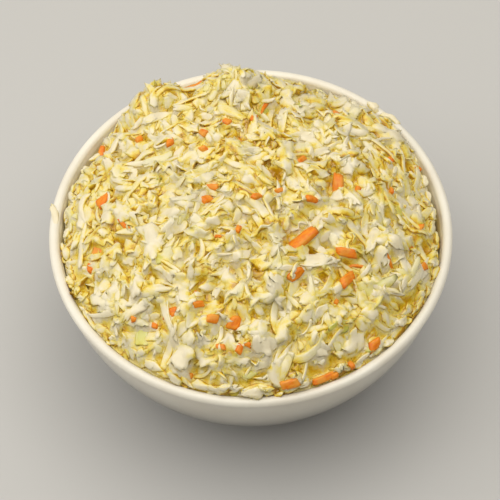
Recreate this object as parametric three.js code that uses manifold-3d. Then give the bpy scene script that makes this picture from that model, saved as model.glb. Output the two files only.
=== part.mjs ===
// Chopped coleslaw heaped in a round off-white bowl. Millimetres, +Z up.
// The origin is the centre of the bowl's foot, and -Y is the side that the viewer sees first.
import * as THREE from "three";
import { mergeVertices } from "three/addons/utils/BufferGeometryUtils.js";
import Module from "manifold-3d";

// Bowl
const RIM_RADIUS = 65; // outermost, at the lip
const BOWL_HEIGHT = 60;
const LIP_RADIUS = 1.7; // the lip is a half-round bead
const WALL = 2.8;
const WALL_TOP_RADIUS = 64; // outside of the wall, right under the lip
const WALL_LEAN = THREE.MathUtils.degToRad(5.1);
const WALL_ARC = 76.4; // radius of the wall's outside arc, seen from the side
const FOOT_RADIUS = 33.5;
const FOOT_WIDTH = 4;
const FOOT_HEIGHT = 4;
const FOOT_RECESS = 2.2;
const FOOT_EDGE = 0.5; // bevel of the foot's outer edge
const RECESS_FLARE = 0.8; // slope of the foot's inner side
const FLOOR_TOP = 6; // the inside floor's height
const FLOOR_RADIUS = 27; // the flat part of the inside floor
const INSIDE_BOTTOM = 8; // where the wall's inside meets the floor's rounding
const BOWL_SIDES = 60;

// Heap
const CLEARANCE = 0.4; // between the slaw and the bowl
const EDGE_DROP_BACK = 3.4; // how far the slaw's edge lies under the rim, at the back
const EDGE_DROP_FRONT = 1.2;
const DOME_RISE = 24; // from the edge to the bare core's top
const DOME_FULLNESS = 0.68; // lower is fuller near the rim
const CLUMP = { x: -15, y: 49, height: 10.5, spreadX: 15, spreadY: 10 }; // mound that shows over the back rim
const CLUMP_EDGE = 0.3; // how softly the mound falls to nothing at the slaw's edge
const EDGE_WAVES = [
  { height: 0.35, count: 3, phase: 0.8 },
  { height: 0.25, count: 7, phase: 0 },
]; // unevenness of the slaw's edge, round the bowl
const LUMP_HEIGHT = 0.9;
const LUMP_WAVES = [
  { share: 0.45, turn: 0, length: 15, bend: 1.7 },
  { share: 0.35, turn: 90, length: 12.5, bend: 1.3 },
  { share: 0.2, turn: 45, length: 5.4, bend: 0.6 },
];
const CORE_RINGS = 9; // over the dome
const CORE_SIDES = 36;
const CORE_LEVELS = [14, 28, 44]; // heights of the rings down the bowl's wall

// Pieces that show. Lengths, widths and thicknesses in millimetres.
const SEED = 20;
const SIZES = {
  shred: { count: 56, length: [11, 20], width: [2.8, 4.4], thick: [1.4, 2.2] },
  leaf: { count: 24, length: [10, 17], width: [8, 12], thick: [1, 1.3] },
  rib: { count: 26, length: [5.5, 9], width: [4, 6], thick: [3, 4.2] },
  carrot: { count: 26, length: [7, 14.5], width: [3.2, 4.6], thick: [2.8, 3.8] },
};
// How each kind is bent: steps of its grid, share of its bending that follows the heap beneath,
// how far its free end may lift, and the height of its own wave.
const BENDS = {
  shred: { steps: 3, across: 1, drape: 0.65, lift: 3.4, wave: 0.7 },
  leaf: { steps: 2, across: 2, drape: 0.55, lift: 2.6, wave: 1.5 },
  rib: { steps: 1, across: 1, drape: 0.4, lift: 1.4, wave: 0.3 },
  carrot: { steps: 1, across: 1, drape: 0.3, lift: 1.4, wave: 0.2 },
};
const WAVE_ALONG = 5; // radians of a piece's wave over its length
const WAVE_ACROSS = 4;
const MOST_TAPER = 0.5; // share of the width that a long piece may lose at its ends
const EMBED = 0.45; // share of a piece's thickness that sinks into the core
const EDGE_MARGIN = 1.5; // from the lip to the outermost piece's middle
const OVERHANG = 0.3; // what lies over the lip stays this far inside the bowl's outline
const ATTEMPTS = 8; // tries at a piece that meets the bowl
const RETRY = { length: 0.94, lift: 0.8, place: 0.98 }; // what each further try keeps of the last
const PLACE_STEP = 67; // jump between places that follow each other, which spreads every kind
const KIND_OFFSET = 0.13; // shift between the kinds in the order, so that they alternate
const MERGE_DISTANCE = 1e-3; // corners closer than this are one corner
const CLEANING_PASSES = 4;

/** Small seeded generator, so that every build gives the same heap. */
function randomFrom(seed) {
  let state = seed >>> 0;
  return () => {
    state = (state + 0x6d2b79f5) >>> 0;
    let t = Math.imul(state ^ (state >>> 15), 1 | state);
    t = (t + Math.imul(t ^ (t >>> 7), 61 | t)) ^ t;
    return ((t ^ (t >>> 14)) >>> 0) / 4294967296;
  };
}
const random = randomFrom(SEED);
const between = ([low, high]) => low + (high - low) * random();

// Bowl outline

const lipCentre = new THREE.Vector2(RIM_RADIUS - LIP_RADIUS, BOWL_HEIGHT - LIP_RADIUS);
const wallTop = BOWL_HEIGHT - 2 * LIP_RADIUS;
const arcCentre = new THREE.Vector2(
  WALL_TOP_RADIUS - WALL_ARC * Math.cos(WALL_LEAN),
  wallTop + WALL_ARC * Math.sin(WALL_LEAN),
);

/** Radius of the wall at a height, for an arc of the given radius about the wall's centre. */
function arcRadiusAt(height, arc) {
  const down = arcCentre.y - height;
  return arcCentre.x + Math.sqrt(Math.max(arc * arc - down * down, 0));
}

/** Radius of the bowl's inside at a height. */
function insideRadius(height) {
  if (height >= lipCentre.y) return lipCentre.x - LIP_RADIUS;
  return Math.min(arcRadiusAt(height, WALL_ARC - WALL), lipCentre.x - LIP_RADIUS);
}

/** Outline of the bowl from the axis under the foot, up the outside, over the lip and down the inside. */
function bowlOutline() {
  const points = [
    new THREE.Vector2(0, FOOT_RECESS),
    new THREE.Vector2(FOOT_RADIUS - FOOT_WIDTH - RECESS_FLARE, FOOT_RECESS),
    new THREE.Vector2(FOOT_RADIUS - FOOT_WIDTH, 0),
    new THREE.Vector2(FOOT_RADIUS - FOOT_EDGE, 0),
    new THREE.Vector2(FOOT_RADIUS, FOOT_EDGE),
  ];
  const outsideSteps = 8;
  for (let i = 0; i <= outsideSteps; i++) {
    const height = THREE.MathUtils.lerp(FOOT_HEIGHT, wallTop, i / outsideSteps);
    points.push(new THREE.Vector2(arcRadiusAt(height, WALL_ARC), height));
  }
  const lipSteps = 5; // of 45 degrees, so that one is the top and one is the widest point
  const lipStart = THREE.MathUtils.degToRad(-45);
  for (let i = 0; i <= lipSteps; i++) {
    const angle = THREE.MathUtils.lerp(lipStart, Math.PI, i / lipSteps);
    const outwards = new THREE.Vector2(Math.cos(angle), Math.sin(angle));
    points.push(outwards.multiplyScalar(LIP_RADIUS).add(lipCentre));
  }
  const insideSteps = 6;
  for (let i = 1; i <= insideSteps; i++) {
    const height = THREE.MathUtils.lerp(lipCentre.y, INSIDE_BOTTOM, i / insideSteps);
    points.push(new THREE.Vector2(insideRadius(height), height));
  }
  points.push(new THREE.Vector2(FLOOR_RADIUS, FLOOR_TOP), new THREE.Vector2(0, FLOOR_TOP));
  return points;
}

function bowlMesh() {
  const geometry = new THREE.LatheGeometry(bowlOutline(), BOWL_SIDES);
  geometry.rotateX(Math.PI / 2);
  const glaze = new THREE.MeshStandardMaterial({ color: 0xe9e2d1, roughness: 0.35, metalness: 0 });
  const mesh = new THREE.Mesh(geometry, glaze);
  mesh.name = "bowl";
  return mesh;
}

// Heap surface

/** Height of the slaw's edge on the wall, lower at the back, by the direction from the axis. */
function edgeHeight(angle) {
  const back = 0.5 + 0.5 * Math.sin(angle);
  const uneven = EDGE_WAVES.map((wave) => wave.height * Math.sin(wave.count * angle + wave.phase));
  const drop = THREE.MathUtils.lerp(EDGE_DROP_FRONT, EDGE_DROP_BACK, back);
  return BOWL_HEIGHT - drop + uneven.reduce((sum, height) => sum + height);
}

/** Smooth lumps a few millimetres across, between -1 and 1: waves that cross and bend each other. */
function lumps(x, y) {
  const heights = LUMP_WAVES.map(({ share, turn, length, bend }) => {
    const heading = THREE.MathUtils.degToRad(turn);
    const along = x * Math.cos(heading) + y * Math.sin(heading);
    const across = y * Math.cos(heading) - x * Math.sin(heading);
    return share * Math.sin((2 * Math.PI * along) / length + bend * Math.sin((Math.PI * across) / length));
  });
  return heights.reduce((sum, height) => sum + height);
}

/** Height of the bare core at a place. */
function surfaceHeight(x, y) {
  const angle = Math.atan2(y, x);
  const edge = edgeHeight(angle);
  const reach = insideRadius(edge) - CLEARANCE;
  const share = Math.min(Math.hypot(x, y) / reach, 1);
  const inward = Math.pow(1 - share * share, DOME_FULLNESS);
  const fromClump = ((x - CLUMP.x) / CLUMP.spreadX) ** 2 + ((y - CLUMP.y) / CLUMP.spreadY) ** 2;
  const clump = CLUMP.height * Math.exp(-fromClump / 2) * inward ** CLUMP_EDGE;
  const top = BOWL_HEIGHT + DOME_RISE - EDGE_DROP_BACK;
  return edge + (top - edge) * inward + clump + LUMP_HEIGHT * lumps(x, y) * Math.sqrt(inward);
}

/** Outward normal of the bare core at a place. */
function surfaceNormal(x, y) {
  const step = 0.6;
  const slopeX = (surfaceHeight(x + step, y) - surfaceHeight(x - step, y)) / (2 * step);
  const slopeY = (surfaceHeight(x, y + step) - surfaceHeight(x, y - step)) / (2 * step);
  return new THREE.Vector3(-slopeX, -slopeY, 1).normalize();
}

/** True if a point is clear of the bowl and over its footprint. */
function clearOfBowl(point) {
  const radius = Math.hypot(point.x, point.y);
  const fromLip = Math.hypot(radius - lipCentre.x, point.z - lipCentre.y);
  if (fromLip < LIP_RADIUS + CLEARANCE) return false;
  if (point.z < lipCentre.y) return radius < insideRadius(point.z) - CLEARANCE;
  return radius < RIM_RADIUS - OVERHANG;
}

// Solids. A grid of points, bent into a closed body, is what every piece and the core are made of.

/** Closed solid from a geometry, with the corners that lie together made one. */
function solidOf(wasm, geometry) {
  const merged = mergeVertices(geometry, MERGE_DISTANCE);
  return new wasm.Manifold(
    new wasm.Mesh({
      numProp: 3,
      vertProperties: merged.attributes.position.array,
      triVerts: new Uint32Array(merged.index.array),
    }),
  );
}

/** Closed solid from vertices and triangles. */
function solidFrom(wasm, vertices, triangles) {
  const geometry = new THREE.BufferGeometry().setFromPoints(vertices);
  geometry.setIndex(triangles);
  return solidOf(wasm, geometry);
}

/** Geometry with the faces of a solid. */
function geometryOf(solid) {
  const { vertProperties, triVerts } = solid.getMesh();
  const geometry = new THREE.BufferGeometry();
  geometry.setAttribute("position", new THREE.BufferAttribute(vertProperties, 3));
  return geometry.setIndex(new THREE.BufferAttribute(triVerts, 1));
}

/** The largest body of a solid, without loose scraps and with its sealed hollows filled. */
function largestBody(wasm, solid) {
  let body = solid;
  for (let pass = 0; pass < CLEANING_PASSES; pass++) {
    const bodies = body.decompose().sort((a, b) => b.volume() - a.volume());
    body = solidOf(wasm, geometryOf(bodies[0]));
  }
  return body;
}

/** The bare core: the bowl's inside up to the edge, and the dome over it. */
function coreSolid(wasm) {
  const vertices = [];
  const triangles = [];
  const rings = [];
  const ring = (place) => {
    rings.push(vertices.length);
    for (let side = 0; side < CORE_SIDES; side++) {
      vertices.push(place((2 * Math.PI * side) / CORE_SIDES));
    }
  };
  const polar = (radius, angle, height) =>
    new THREE.Vector3(radius * Math.cos(angle), radius * Math.sin(angle), height);
  const bottomHeight = FLOOR_TOP + CLEARANCE;
  ring((angle) => polar(FLOOR_RADIUS - CLEARANCE, angle, bottomHeight));
  for (const height of CORE_LEVELS) {
    ring((angle) => polar(insideRadius(height) - CLEARANCE, angle, height));
  }
  for (let i = CORE_RINGS; i > 0; i--) {
    const share = Math.sin((Math.PI / 2) * (i / CORE_RINGS));
    ring((angle) => {
      const radius = share * (insideRadius(edgeHeight(angle)) - CLEARANCE);
      return polar(radius, angle, surfaceHeight(radius * Math.cos(angle), radius * Math.sin(angle)));
    });
  }
  for (let r = 0; r + 1 < rings.length; r++) {
    for (let side = 0; side < CORE_SIDES; side++) {
      const next = (side + 1) % CORE_SIDES;
      const [a, b] = [rings[r] + side, rings[r] + next];
      const [c, d] = [rings[r + 1] + side, rings[r + 1] + next];
      triangles.push(a, b, d, a, d, c);
    }
  }
  const bottom = vertices.push(new THREE.Vector3(0, 0, bottomHeight)) - 1;
  const top = vertices.push(new THREE.Vector3(0, 0, surfaceHeight(0, 0))) - 1;
  for (let side = 0; side < CORE_SIDES; side++) {
    const next = (side + 1) % CORE_SIDES;
    triangles.push(bottom, rings[0] + next, rings[0] + side);
    triangles.push(top, rings.at(-1) + side, rings.at(-1) + next);
  }
  return solidFrom(wasm, vertices, triangles);
}

/** Points of one piece: a bent grid for its upper face and the same grid for its lower face. */
function piecePoints(kind, size, centre, heading) {
  const normal = surfaceNormal(centre.x, centre.y);
  const level = new THREE.Vector3(Math.cos(heading), Math.sin(heading), 0);
  const along = level.projectOnPlane(normal).normalize();
  const across = new THREE.Vector3().crossVectors(normal, along);
  const base = new THREE.Vector3(centre.x, centre.y, surfaceHeight(centre.x, centre.y));
  const upper = [];
  const lower = [];
  for (let i = 0; i <= kind.steps; i++) {
    const u = i / kind.steps - 0.5;
    const taper = kind.steps > 1 ? 1 - size.taper * (2 * u) ** 2 : 1;
    for (let j = 0; j <= kind.across; j++) {
      const v = (j / kind.across - 0.5) * taper;
      const flat = base.clone();
      flat.addScaledVector(along, u * size.length).addScaledVector(across, v * size.width);
      const draped = new THREE.Vector3(flat.x, flat.y, surfaceHeight(flat.x, flat.y));
      const middle = flat.lerp(draped, kind.drape);
      const wave = size.wave * Math.sin(size.phase + WAVE_ALONG * u + WAVE_ACROSS * v);
      middle.addScaledVector(normal, wave + size.lift * (u + 0.5) ** 2 + size.thick * (0.5 - EMBED));
      upper.push(middle.clone().addScaledVector(normal, size.thick / 2));
      lower.push(middle.clone().addScaledVector(normal, -size.thick / 2));
    }
  }
  return [...upper, ...lower];
}

/** Triangles of a piece: both faces split alike, and a strip all round the edge. */
function pieceTriangles(kind) {
  const columns = kind.across + 1;
  const lowerStart = (kind.steps + 1) * columns;
  const triangles = [];
  for (let i = 0; i < kind.steps; i++) {
    for (let j = 0; j < kind.across; j++) {
      const [a, b] = [i * columns + j, i * columns + j + 1];
      const [c, d] = [a + columns, b + columns];
      triangles.push(a, c, d, a, d, b);
      triangles.push(...[a, d, c, a, b, d].map((corner) => lowerStart + corner));
    }
  }
  const edge = [];
  for (let i = 0; i < kind.steps; i++) edge.push(i * columns);
  for (let j = 0; j < kind.across; j++) edge.push(kind.steps * columns + j);
  for (let i = kind.steps; i > 0; i--) edge.push(i * columns + kind.across);
  for (let j = kind.across; j > 0; j--) edge.push(j);
  edge.forEach((a, i) => {
    const b = edge[(i + 1) % edge.length];
    triangles.push(a, lowerStart + a, lowerStart + b, a, lowerStart + b, b);
  });
  return triangles;
}

/** One piece as a solid, moved inwards and shortened until it clears the bowl, or nothing. */
function pieceSolid(wasm, kind, centre) {
  const heading = 2 * Math.PI * random();
  const size = {
    length: between(kind.length),
    width: between(kind.width),
    thick: between(kind.thick),
    lift: kind.lift * random() ** 2,
    wave: kind.wave * random(),
    taper: MOST_TAPER * random(),
    phase: 2 * Math.PI * random(),
  };
  for (let attempt = 0; attempt < ATTEMPTS; attempt++) {
    const points = piecePoints(kind, size, centre, heading);
    if (points.every(clearOfBowl)) return solidFrom(wasm, points, pieceTriangles(kind));
    size.length *= RETRY.length;
    size.lift *= RETRY.lift;
    centre = centre.clone().multiplyScalar(RETRY.place);
  }
  return null;
}

/** Order in which the kinds follow each other, so that each is spread evenly over the heap. */
function kindOrder() {
  const entries = Object.keys(SIZES).flatMap((name, number) => {
    const kind = { ...SIZES[name], ...BENDS[name] };
    const start = 0.5 + KIND_OFFSET * number;
    return Array.from({ length: kind.count }, (_, i) => ({ kind, at: (i + start) / kind.count }));
  });
  return entries.sort((a, b) => a.at - b.at).map((entry) => entry.kind);
}

/** Places over the heap: a spiral that gives each piece the same share of the surface. */
function spiralPlace(index, count, reach) {
  const goldenAngle = Math.PI * (3 - Math.sqrt(5));
  const radius = reach * Math.sqrt((index + 0.5) / count);
  return new THREE.Vector2(radius * Math.cos(index * goldenAngle), radius * Math.sin(index * goldenAngle));
}

/** The heap: the core with its pieces fused on, closed hollows filled and loose scraps dropped. */
function slawMesh(wasm) {
  const order = kindOrder();
  const reach = insideRadius(BOWL_HEIGHT) - EDGE_MARGIN;
  const pieces = order
    .map((kind, i) => {
      const place = (i * PLACE_STEP) % order.length;
      return pieceSolid(wasm, kind, spiralPlace(place, order.length, reach));
    })
    .filter(Boolean);
  const fused = pieces.reduce((body, piece) => body.add(piece), coreSolid(wasm));
  const dressed = new THREE.MeshStandardMaterial({ color: 0xeee2b4, roughness: 0.4, metalness: 0 });
  const mesh = new THREE.Mesh(geometryOf(largestBody(wasm, fused)), dressed);
  mesh.name = "coleslaw";
  return mesh;
}

const wasm = await Module();
wasm.setup();
const coleslawBowl = new THREE.Group();
coleslawBowl.add(bowlMesh(), slawMesh(wasm));

export default coleslawBowl;
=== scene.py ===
"""Chopped coleslaw heaped in a round off-white bowl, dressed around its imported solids.

The frame has +Z up and -Y to the front, with its origin under the bowl's foot. Sizes in the classes below are
millimetres, and become metres when a mesh is made. Colours are as they look on a screen, from 0 to 255.
"""
import functools
import logging
import math
from dataclasses import dataclass, field, replace
from enum import Enum
from typing import Any, Callable

import bpy
import numpy as np
from mathutils import Matrix, Vector


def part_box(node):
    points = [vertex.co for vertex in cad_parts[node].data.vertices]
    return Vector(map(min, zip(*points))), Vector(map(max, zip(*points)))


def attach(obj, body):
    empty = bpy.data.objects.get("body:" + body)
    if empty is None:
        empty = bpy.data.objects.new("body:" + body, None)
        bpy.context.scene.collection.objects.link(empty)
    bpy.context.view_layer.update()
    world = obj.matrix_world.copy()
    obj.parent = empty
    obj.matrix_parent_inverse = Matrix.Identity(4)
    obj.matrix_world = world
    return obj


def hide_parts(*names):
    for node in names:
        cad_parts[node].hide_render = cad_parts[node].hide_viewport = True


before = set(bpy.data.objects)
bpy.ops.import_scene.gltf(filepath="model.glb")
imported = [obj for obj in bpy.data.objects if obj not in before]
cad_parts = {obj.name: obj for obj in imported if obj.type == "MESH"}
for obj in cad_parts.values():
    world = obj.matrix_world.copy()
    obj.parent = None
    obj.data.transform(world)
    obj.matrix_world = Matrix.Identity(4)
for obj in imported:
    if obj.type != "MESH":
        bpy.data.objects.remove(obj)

MM = 0.001
TURN = 2 * math.pi
TINY = 1e-9  # keeps a division from 0
STRAIGHT = 1e-5  # the most bend that is left out, in radians per millimetre
HEADROOM = 2.0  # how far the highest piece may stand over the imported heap, in millimetres
Array = np.ndarray
Colour = tuple[float, float, float, float]
Span = tuple[float, float]
Shares = tuple[float, ...]
Stops = tuple[tuple[float, Colour], ...]
log = logging.getLogger("coleslaw")


def screen(red: float, green: float, blue: float) -> Colour:
    """A colour as it looks on a screen, as the linear values that shaders take.

    Args:
        red, green, blue: from 0 to 255.

    Returns:
        Linear red, green, blue and an alpha of 1.
    """
    shares = [value / 255 for value in (red, green, blue)]
    linear = [s / 12.92 if s <= 0.04045 else ((s + 0.055) / 1.055) ** 2.4 for s in shares]
    return (linear[0], linear[1], linear[2], 1.0)


# Node trees


class Value:
    """A socket that takes part in Python arithmetic, each sign adding its Math node."""

    def __init__(self, graph: "Graph", socket: bpy.types.NodeSocket) -> None:
        """Wraps a socket of a graph."""
        self.graph = graph
        self.socket = socket

    def __add__(self, other: "Value | float") -> "Value":
        """self + other."""
        return self.graph.math("ADD", self, other)

    def __sub__(self, other: "Value | float") -> "Value":
        """self - other."""
        return self.graph.math("SUBTRACT", self, other)

    def __rsub__(self, other: "Value | float") -> "Value":
        """other - self."""
        return self.graph.math("SUBTRACT", other, self)

    def __mul__(self, other: "Value | float") -> "Value":
        """self * other."""
        return self.graph.math("MULTIPLY", self, other)

    def __truediv__(self, other: "Value | float") -> "Value":
        """self / other."""
        return self.graph.math("DIVIDE", self, other)

    def __rtruediv__(self, other: "Value | float") -> "Value":
        """other / self."""
        return self.graph.math("DIVIDE", other, self)

    __radd__ = __add__
    __rmul__ = __mul__

    def between(self, low: float, high: float) -> "Value":
        """0 below low, 1 above high, and a smooth step from one to the other."""
        return self.graph.value(
            "ShaderNodeMapRange",
            {"interpolation_type": "SMOOTHSTEP"},
            {"Value": self, "From Min": low, "From Max": high},
        )

    def swing(self, most: float) -> "Value":
        """A value around 0.5 brought around 0, times a factor."""
        return (self - 0.5) * most


class Graph:
    """A node tree that is filled through one method."""

    def __init__(self, tree: bpy.types.NodeTree) -> None:
        """Takes over a tree and empties it."""
        self.tree = tree
        self.tree.nodes.clear()

    def node(
        self,
        kind: str,
        settings: dict[str, Any] | None = None,
        sockets: dict[str, Any] | None = None,
    ) -> bpy.types.Node:
        """Adds a node.

        Args:
            kind: the node's type.
            settings: its own settings, set first. "stops" fills a colour ramp.
            sockets: a value, a socket or a Value for each input, by identifier or by name.

        Returns:
            The new node.
        """
        made = self.tree.nodes.new(kind)
        for key, value in (settings or {}).items():
            if key == "stops":
                self._fill_ramp(made.color_ramp, value)
            else:
                setattr(made, key, value)
        for key, value in (sockets or {}).items():
            target = next((s for s in made.inputs if s.identifier == key), None) or made.inputs[key]
            source = value.socket if isinstance(value, Value) else value
            if isinstance(source, bpy.types.NodeSocket):
                self.tree.links.new(source, target)
            else:
                target.default_value = source
        return made

    def value(self, kind: str, settings: dict[str, Any], sockets: dict[str, Any], output: int = 0) -> Value:
        """Adds a node and returns one of its outputs, the first if none is named."""
        return Value(self, self.node(kind, settings, sockets).outputs[output])

    def math(self, operation: str, *values: "Value | float") -> Value:
        """Adds a Math node on up to three values."""
        names = ("Value", "Value_001", "Value_002")
        return self.value("ShaderNodeMath", {"operation": operation}, dict(zip(names, values)))

    @staticmethod
    def _fill_ramp(ramp: bpy.types.ColorRamp, stops: Stops) -> None:
        """Gives a colour ramp its stops, lowest first."""
        while len(ramp.elements) < len(stops):
            ramp.elements.new(1.0)
        for element, (place, colour) in zip(ramp.elements, stops):
            element.position = place
            element.color = colour


class Shader(Graph):
    """A material that is made of nodes."""

    def __init__(self, name: str) -> None:
        """Starts an empty material."""
        self.material = bpy.data.materials.new(name)
        self.material.use_nodes = True
        super().__init__(self.material.node_tree)
        self.place = self.node("ShaderNodeTexCoord").outputs["Object"]

    def attribute(self, name: str) -> Value:
        """A number that the mesh carries."""
        return self.value("ShaderNodeAttribute", {"attribute_name": name}, {}, 2)

    def along_piece(self, squeeze: float) -> bpy.types.NodeSocket:
        """The place on a piece as it was cut, squeezed lengthwise so that a pattern on it is drawn out."""
        cut = self.node("ShaderNodeAttribute", {"attribute_name": "cut"}).outputs["Vector"]
        inputs = {"Vector": cut, "Scale": (squeeze, 1.0, 1.0)}
        return self.node("ShaderNodeMapping", {"vector_type": "POINT"}, inputs).outputs["Vector"]

    def noise(self, size: float, detail: float = 3.0, where: Any = None, sway: float = 0.0) -> Value:
        """Noise around 0.5.

        Args:
            size: of one patch, in millimetres.
            detail: how many finer layers it has.
            where: the vector that it reads, the object's own coordinates if left out.
            sway: how far it is pulled out of line.

        Returns:
            The noise's value.
        """
        vector = self.place if where is None else where
        inputs = {"Vector": vector, "Scale": 1 / (size * MM), "Detail": detail, "Distortion": sway}
        return self.value("ShaderNodeTexNoise", {"noise_dimensions": "3D"}, inputs)

    def mix(self, share: "Value | float", first: Any, second: Any) -> Value:
        """A colour between two others."""
        settings = {"data_type": "RGBA", "clamp_factor": True}
        inputs = {"Factor_Float": share, "A_Color": first, "B_Color": second}
        return self.value("ShaderNodeMix", settings, inputs, 2)

    def ramp(self, share: Value, stops: Stops) -> Value:
        """A colour that runs through the stops."""
        return self.value("ShaderNodeValToRGB", {"stops": stops}, {"Fac": share})

    def bump(self, height: Value, depth: float) -> bpy.types.NodeSocket:
        """A normal that follows a height.

        Args:
            height: from 0 to 1.
            depth: of that height, in millimetres.

        Returns:
            The normal's socket.
        """
        inputs = {"Strength": 1.0, "Distance": depth * MM, "Height": height}
        return self.node("ShaderNodeBump", {}, inputs).outputs["Normal"]

    def surface(self, **sockets: Any) -> bpy.types.Material:
        """Ends the material in a Principled surface whose inputs are the keywords, with _ for a space."""
        named = {key.replace("_", " "): value for key, value in sockets.items()}
        principled = self.node("ShaderNodeBsdfPrincipled", {}, named)
        self.node("ShaderNodeOutputMaterial", {}, {"Surface": principled.outputs["BSDF"]})
        return self.material


# Finishes


@dataclass(frozen=True)
class GlazeFinish:
    """Smooth off-white glaze, softly glossy and a little uneven in tone, with painted shade that darkens it
    towards the foot.
    """

    clay: Colour = screen(233, 228, 214)
    shade: Colour = screen(226, 219, 203)
    # Painted shade: the colour that the outside darkens to towards the foot.
    foot: Colour = screen(84, 80, 71)
    painted_foot_shade_heights: Span = (24.0, 57.0)  # the painted shade is full below the first and gone above the second
    cloud_size: float = 14.0
    cloud_edge: Span = (0.35, 0.7)
    fine_size: float = 1.1
    relief: Span = (0.7, 0.3)  # of clouds and fine unevenness
    bump_depth: float = 0.06
    roughness: float = 0.3
    roughness_spread: float = 0.08
    coat: float = 0.2
    coat_roughness: float = 0.1

    def material(self, name: str) -> bpy.types.Material:
        """Makes the material."""
        shader = Shader(name)
        cloud = shader.noise(self.cloud_size, 4)
        fine = shader.noise(self.fine_size, 2)
        colour = shader.mix(cloud.between(*self.cloud_edge), self.clay, self.shade)
        height = shader.node("ShaderNodeSeparateXYZ", {}, {"Vector": shader.place}).outputs["Z"]
        # Painted shade on the outside, from the foot up to below the lip.
        low = 1 - Value(shader, height).between(*(level * MM for level in self.painted_foot_shade_heights))
        return shader.surface(
            Base_Color=shader.mix(low, colour, self.foot),
            Roughness=self.roughness + fine * self.roughness_spread,
            Normal=shader.bump(cloud * self.relief[0] + fine * self.relief[1], self.bump_depth),
            Coat_Weight=self.coat,
            Coat_Roughness=self.coat_roughness,
        )


@dataclass(frozen=True)
class CabbageFinish:
    """Moist chopped cabbage in a thin creamy dressing.

    Each point carries its level, from 0 in a hollow to 1 on a crest: the colour runs from a darker deep
    yellow in the hollows to pale on the crests, partly the dressing, which lies thick in the hollows and thin
    on the crests, and partly painted shade, warm like light bounced between the pieces. Each piece carries
    its tone, from pale to yellow, and its greenness.
    """

    # Colours by level: darker deep yellow in the hollows, partly dressing pooled there and partly painted
    # shade, warm like light bounced between pieces; pale on the crests.
    dressing_and_painted_shade: Stops = (
        (0.0, screen(188, 140, 0)),
        (0.2, screen(217, 176, 6)),
        (0.38, screen(227, 202, 72)),
        (0.56, screen(229, 211, 121)),
        (0.76, screen(229, 215, 155)),
        (1.0, screen(229, 218, 186)),
    )
    green: Colour = screen(202, 200, 88)
    pale: Colour = screen(229, 219, 191)
    sizes: Shares = (13.0, 5.0, 1.3, 0.45)  # of broad areas, patches, flecks and grain
    uneven: Shares = (1.5, 1.3, 0.65, 0.3)  # how far each of them shifts the level
    patch_sway: float = 0.6
    tone_middle: float = 0.4
    tone_share: float = 0.35
    leafy_uneven: float = 0.5
    leafy_edge: Span = (0.34, 0.92)
    leafy_share: float = 0.85
    vein_size: float = 1.0
    vein_squeeze: float = 0.22
    vein_sway: float = 0.8
    vein_edge: Span = (0.52, 0.68)
    vein_share: float = 0.35
    relief: Shares = (0.5, 0.2, 0.3)  # of flecks, grain and veins
    bump_depth: float = 0.12
    roughness: float = 0.36
    roughness_spread: float = 0.3
    scatter: float = 0.25
    scatter_colour: Shares = (1.0, 0.95, 0.85)
    scatter_depth: float = 0.9
    coat: float = 0.55
    coat_roughness: float = 0.28

    def material(self, name: str) -> bpy.types.Material:
        """Makes the material."""
        shader = Shader(name)
        broad = shader.noise(self.sizes[0], 2)
        patches = shader.noise(self.sizes[1], sway=self.patch_sway)
        flecks = shader.noise(self.sizes[2])
        grain = shader.noise(self.sizes[3], 2)
        veins = shader.noise(self.vein_size, 3, shader.along_piece(self.vein_squeeze), self.vein_sway)
        noises = (broad, patches, flecks, grain)
        uneven = sum(noise.swing(most) for noise, most in zip(noises, self.uneven))
        by_tone = (self.tone_middle - shader.attribute("tone")) * self.tone_share
        # The level brings in the painted shade of hollows, undersides and sideways faces.
        flesh = shader.ramp(shader.attribute("level") + uneven + by_tone, self.dressing_and_painted_shade)
        leafy = shader.attribute("green") + patches.swing(self.leafy_uneven) + broad.swing(self.leafy_uneven)
        flesh = shader.mix(leafy.between(*self.leafy_edge) * self.leafy_share, flesh, self.green)
        height = flecks * self.relief[0] + grain * self.relief[1] + veins * self.relief[2]
        return shader.surface(
            Base_Color=shader.mix(veins.between(*self.vein_edge) * self.vein_share, flesh, self.pale),
            Roughness=self.roughness + patches.swing(self.roughness_spread),
            Normal=shader.bump(height, self.bump_depth),
            Subsurface_Weight=self.scatter,
            Subsurface_Radius=self.scatter_colour,
            Subsurface_Scale=self.scatter_depth * MM,
            Coat_Weight=self.coat,
            Coat_Roughness=self.coat_roughness,
        )


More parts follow.
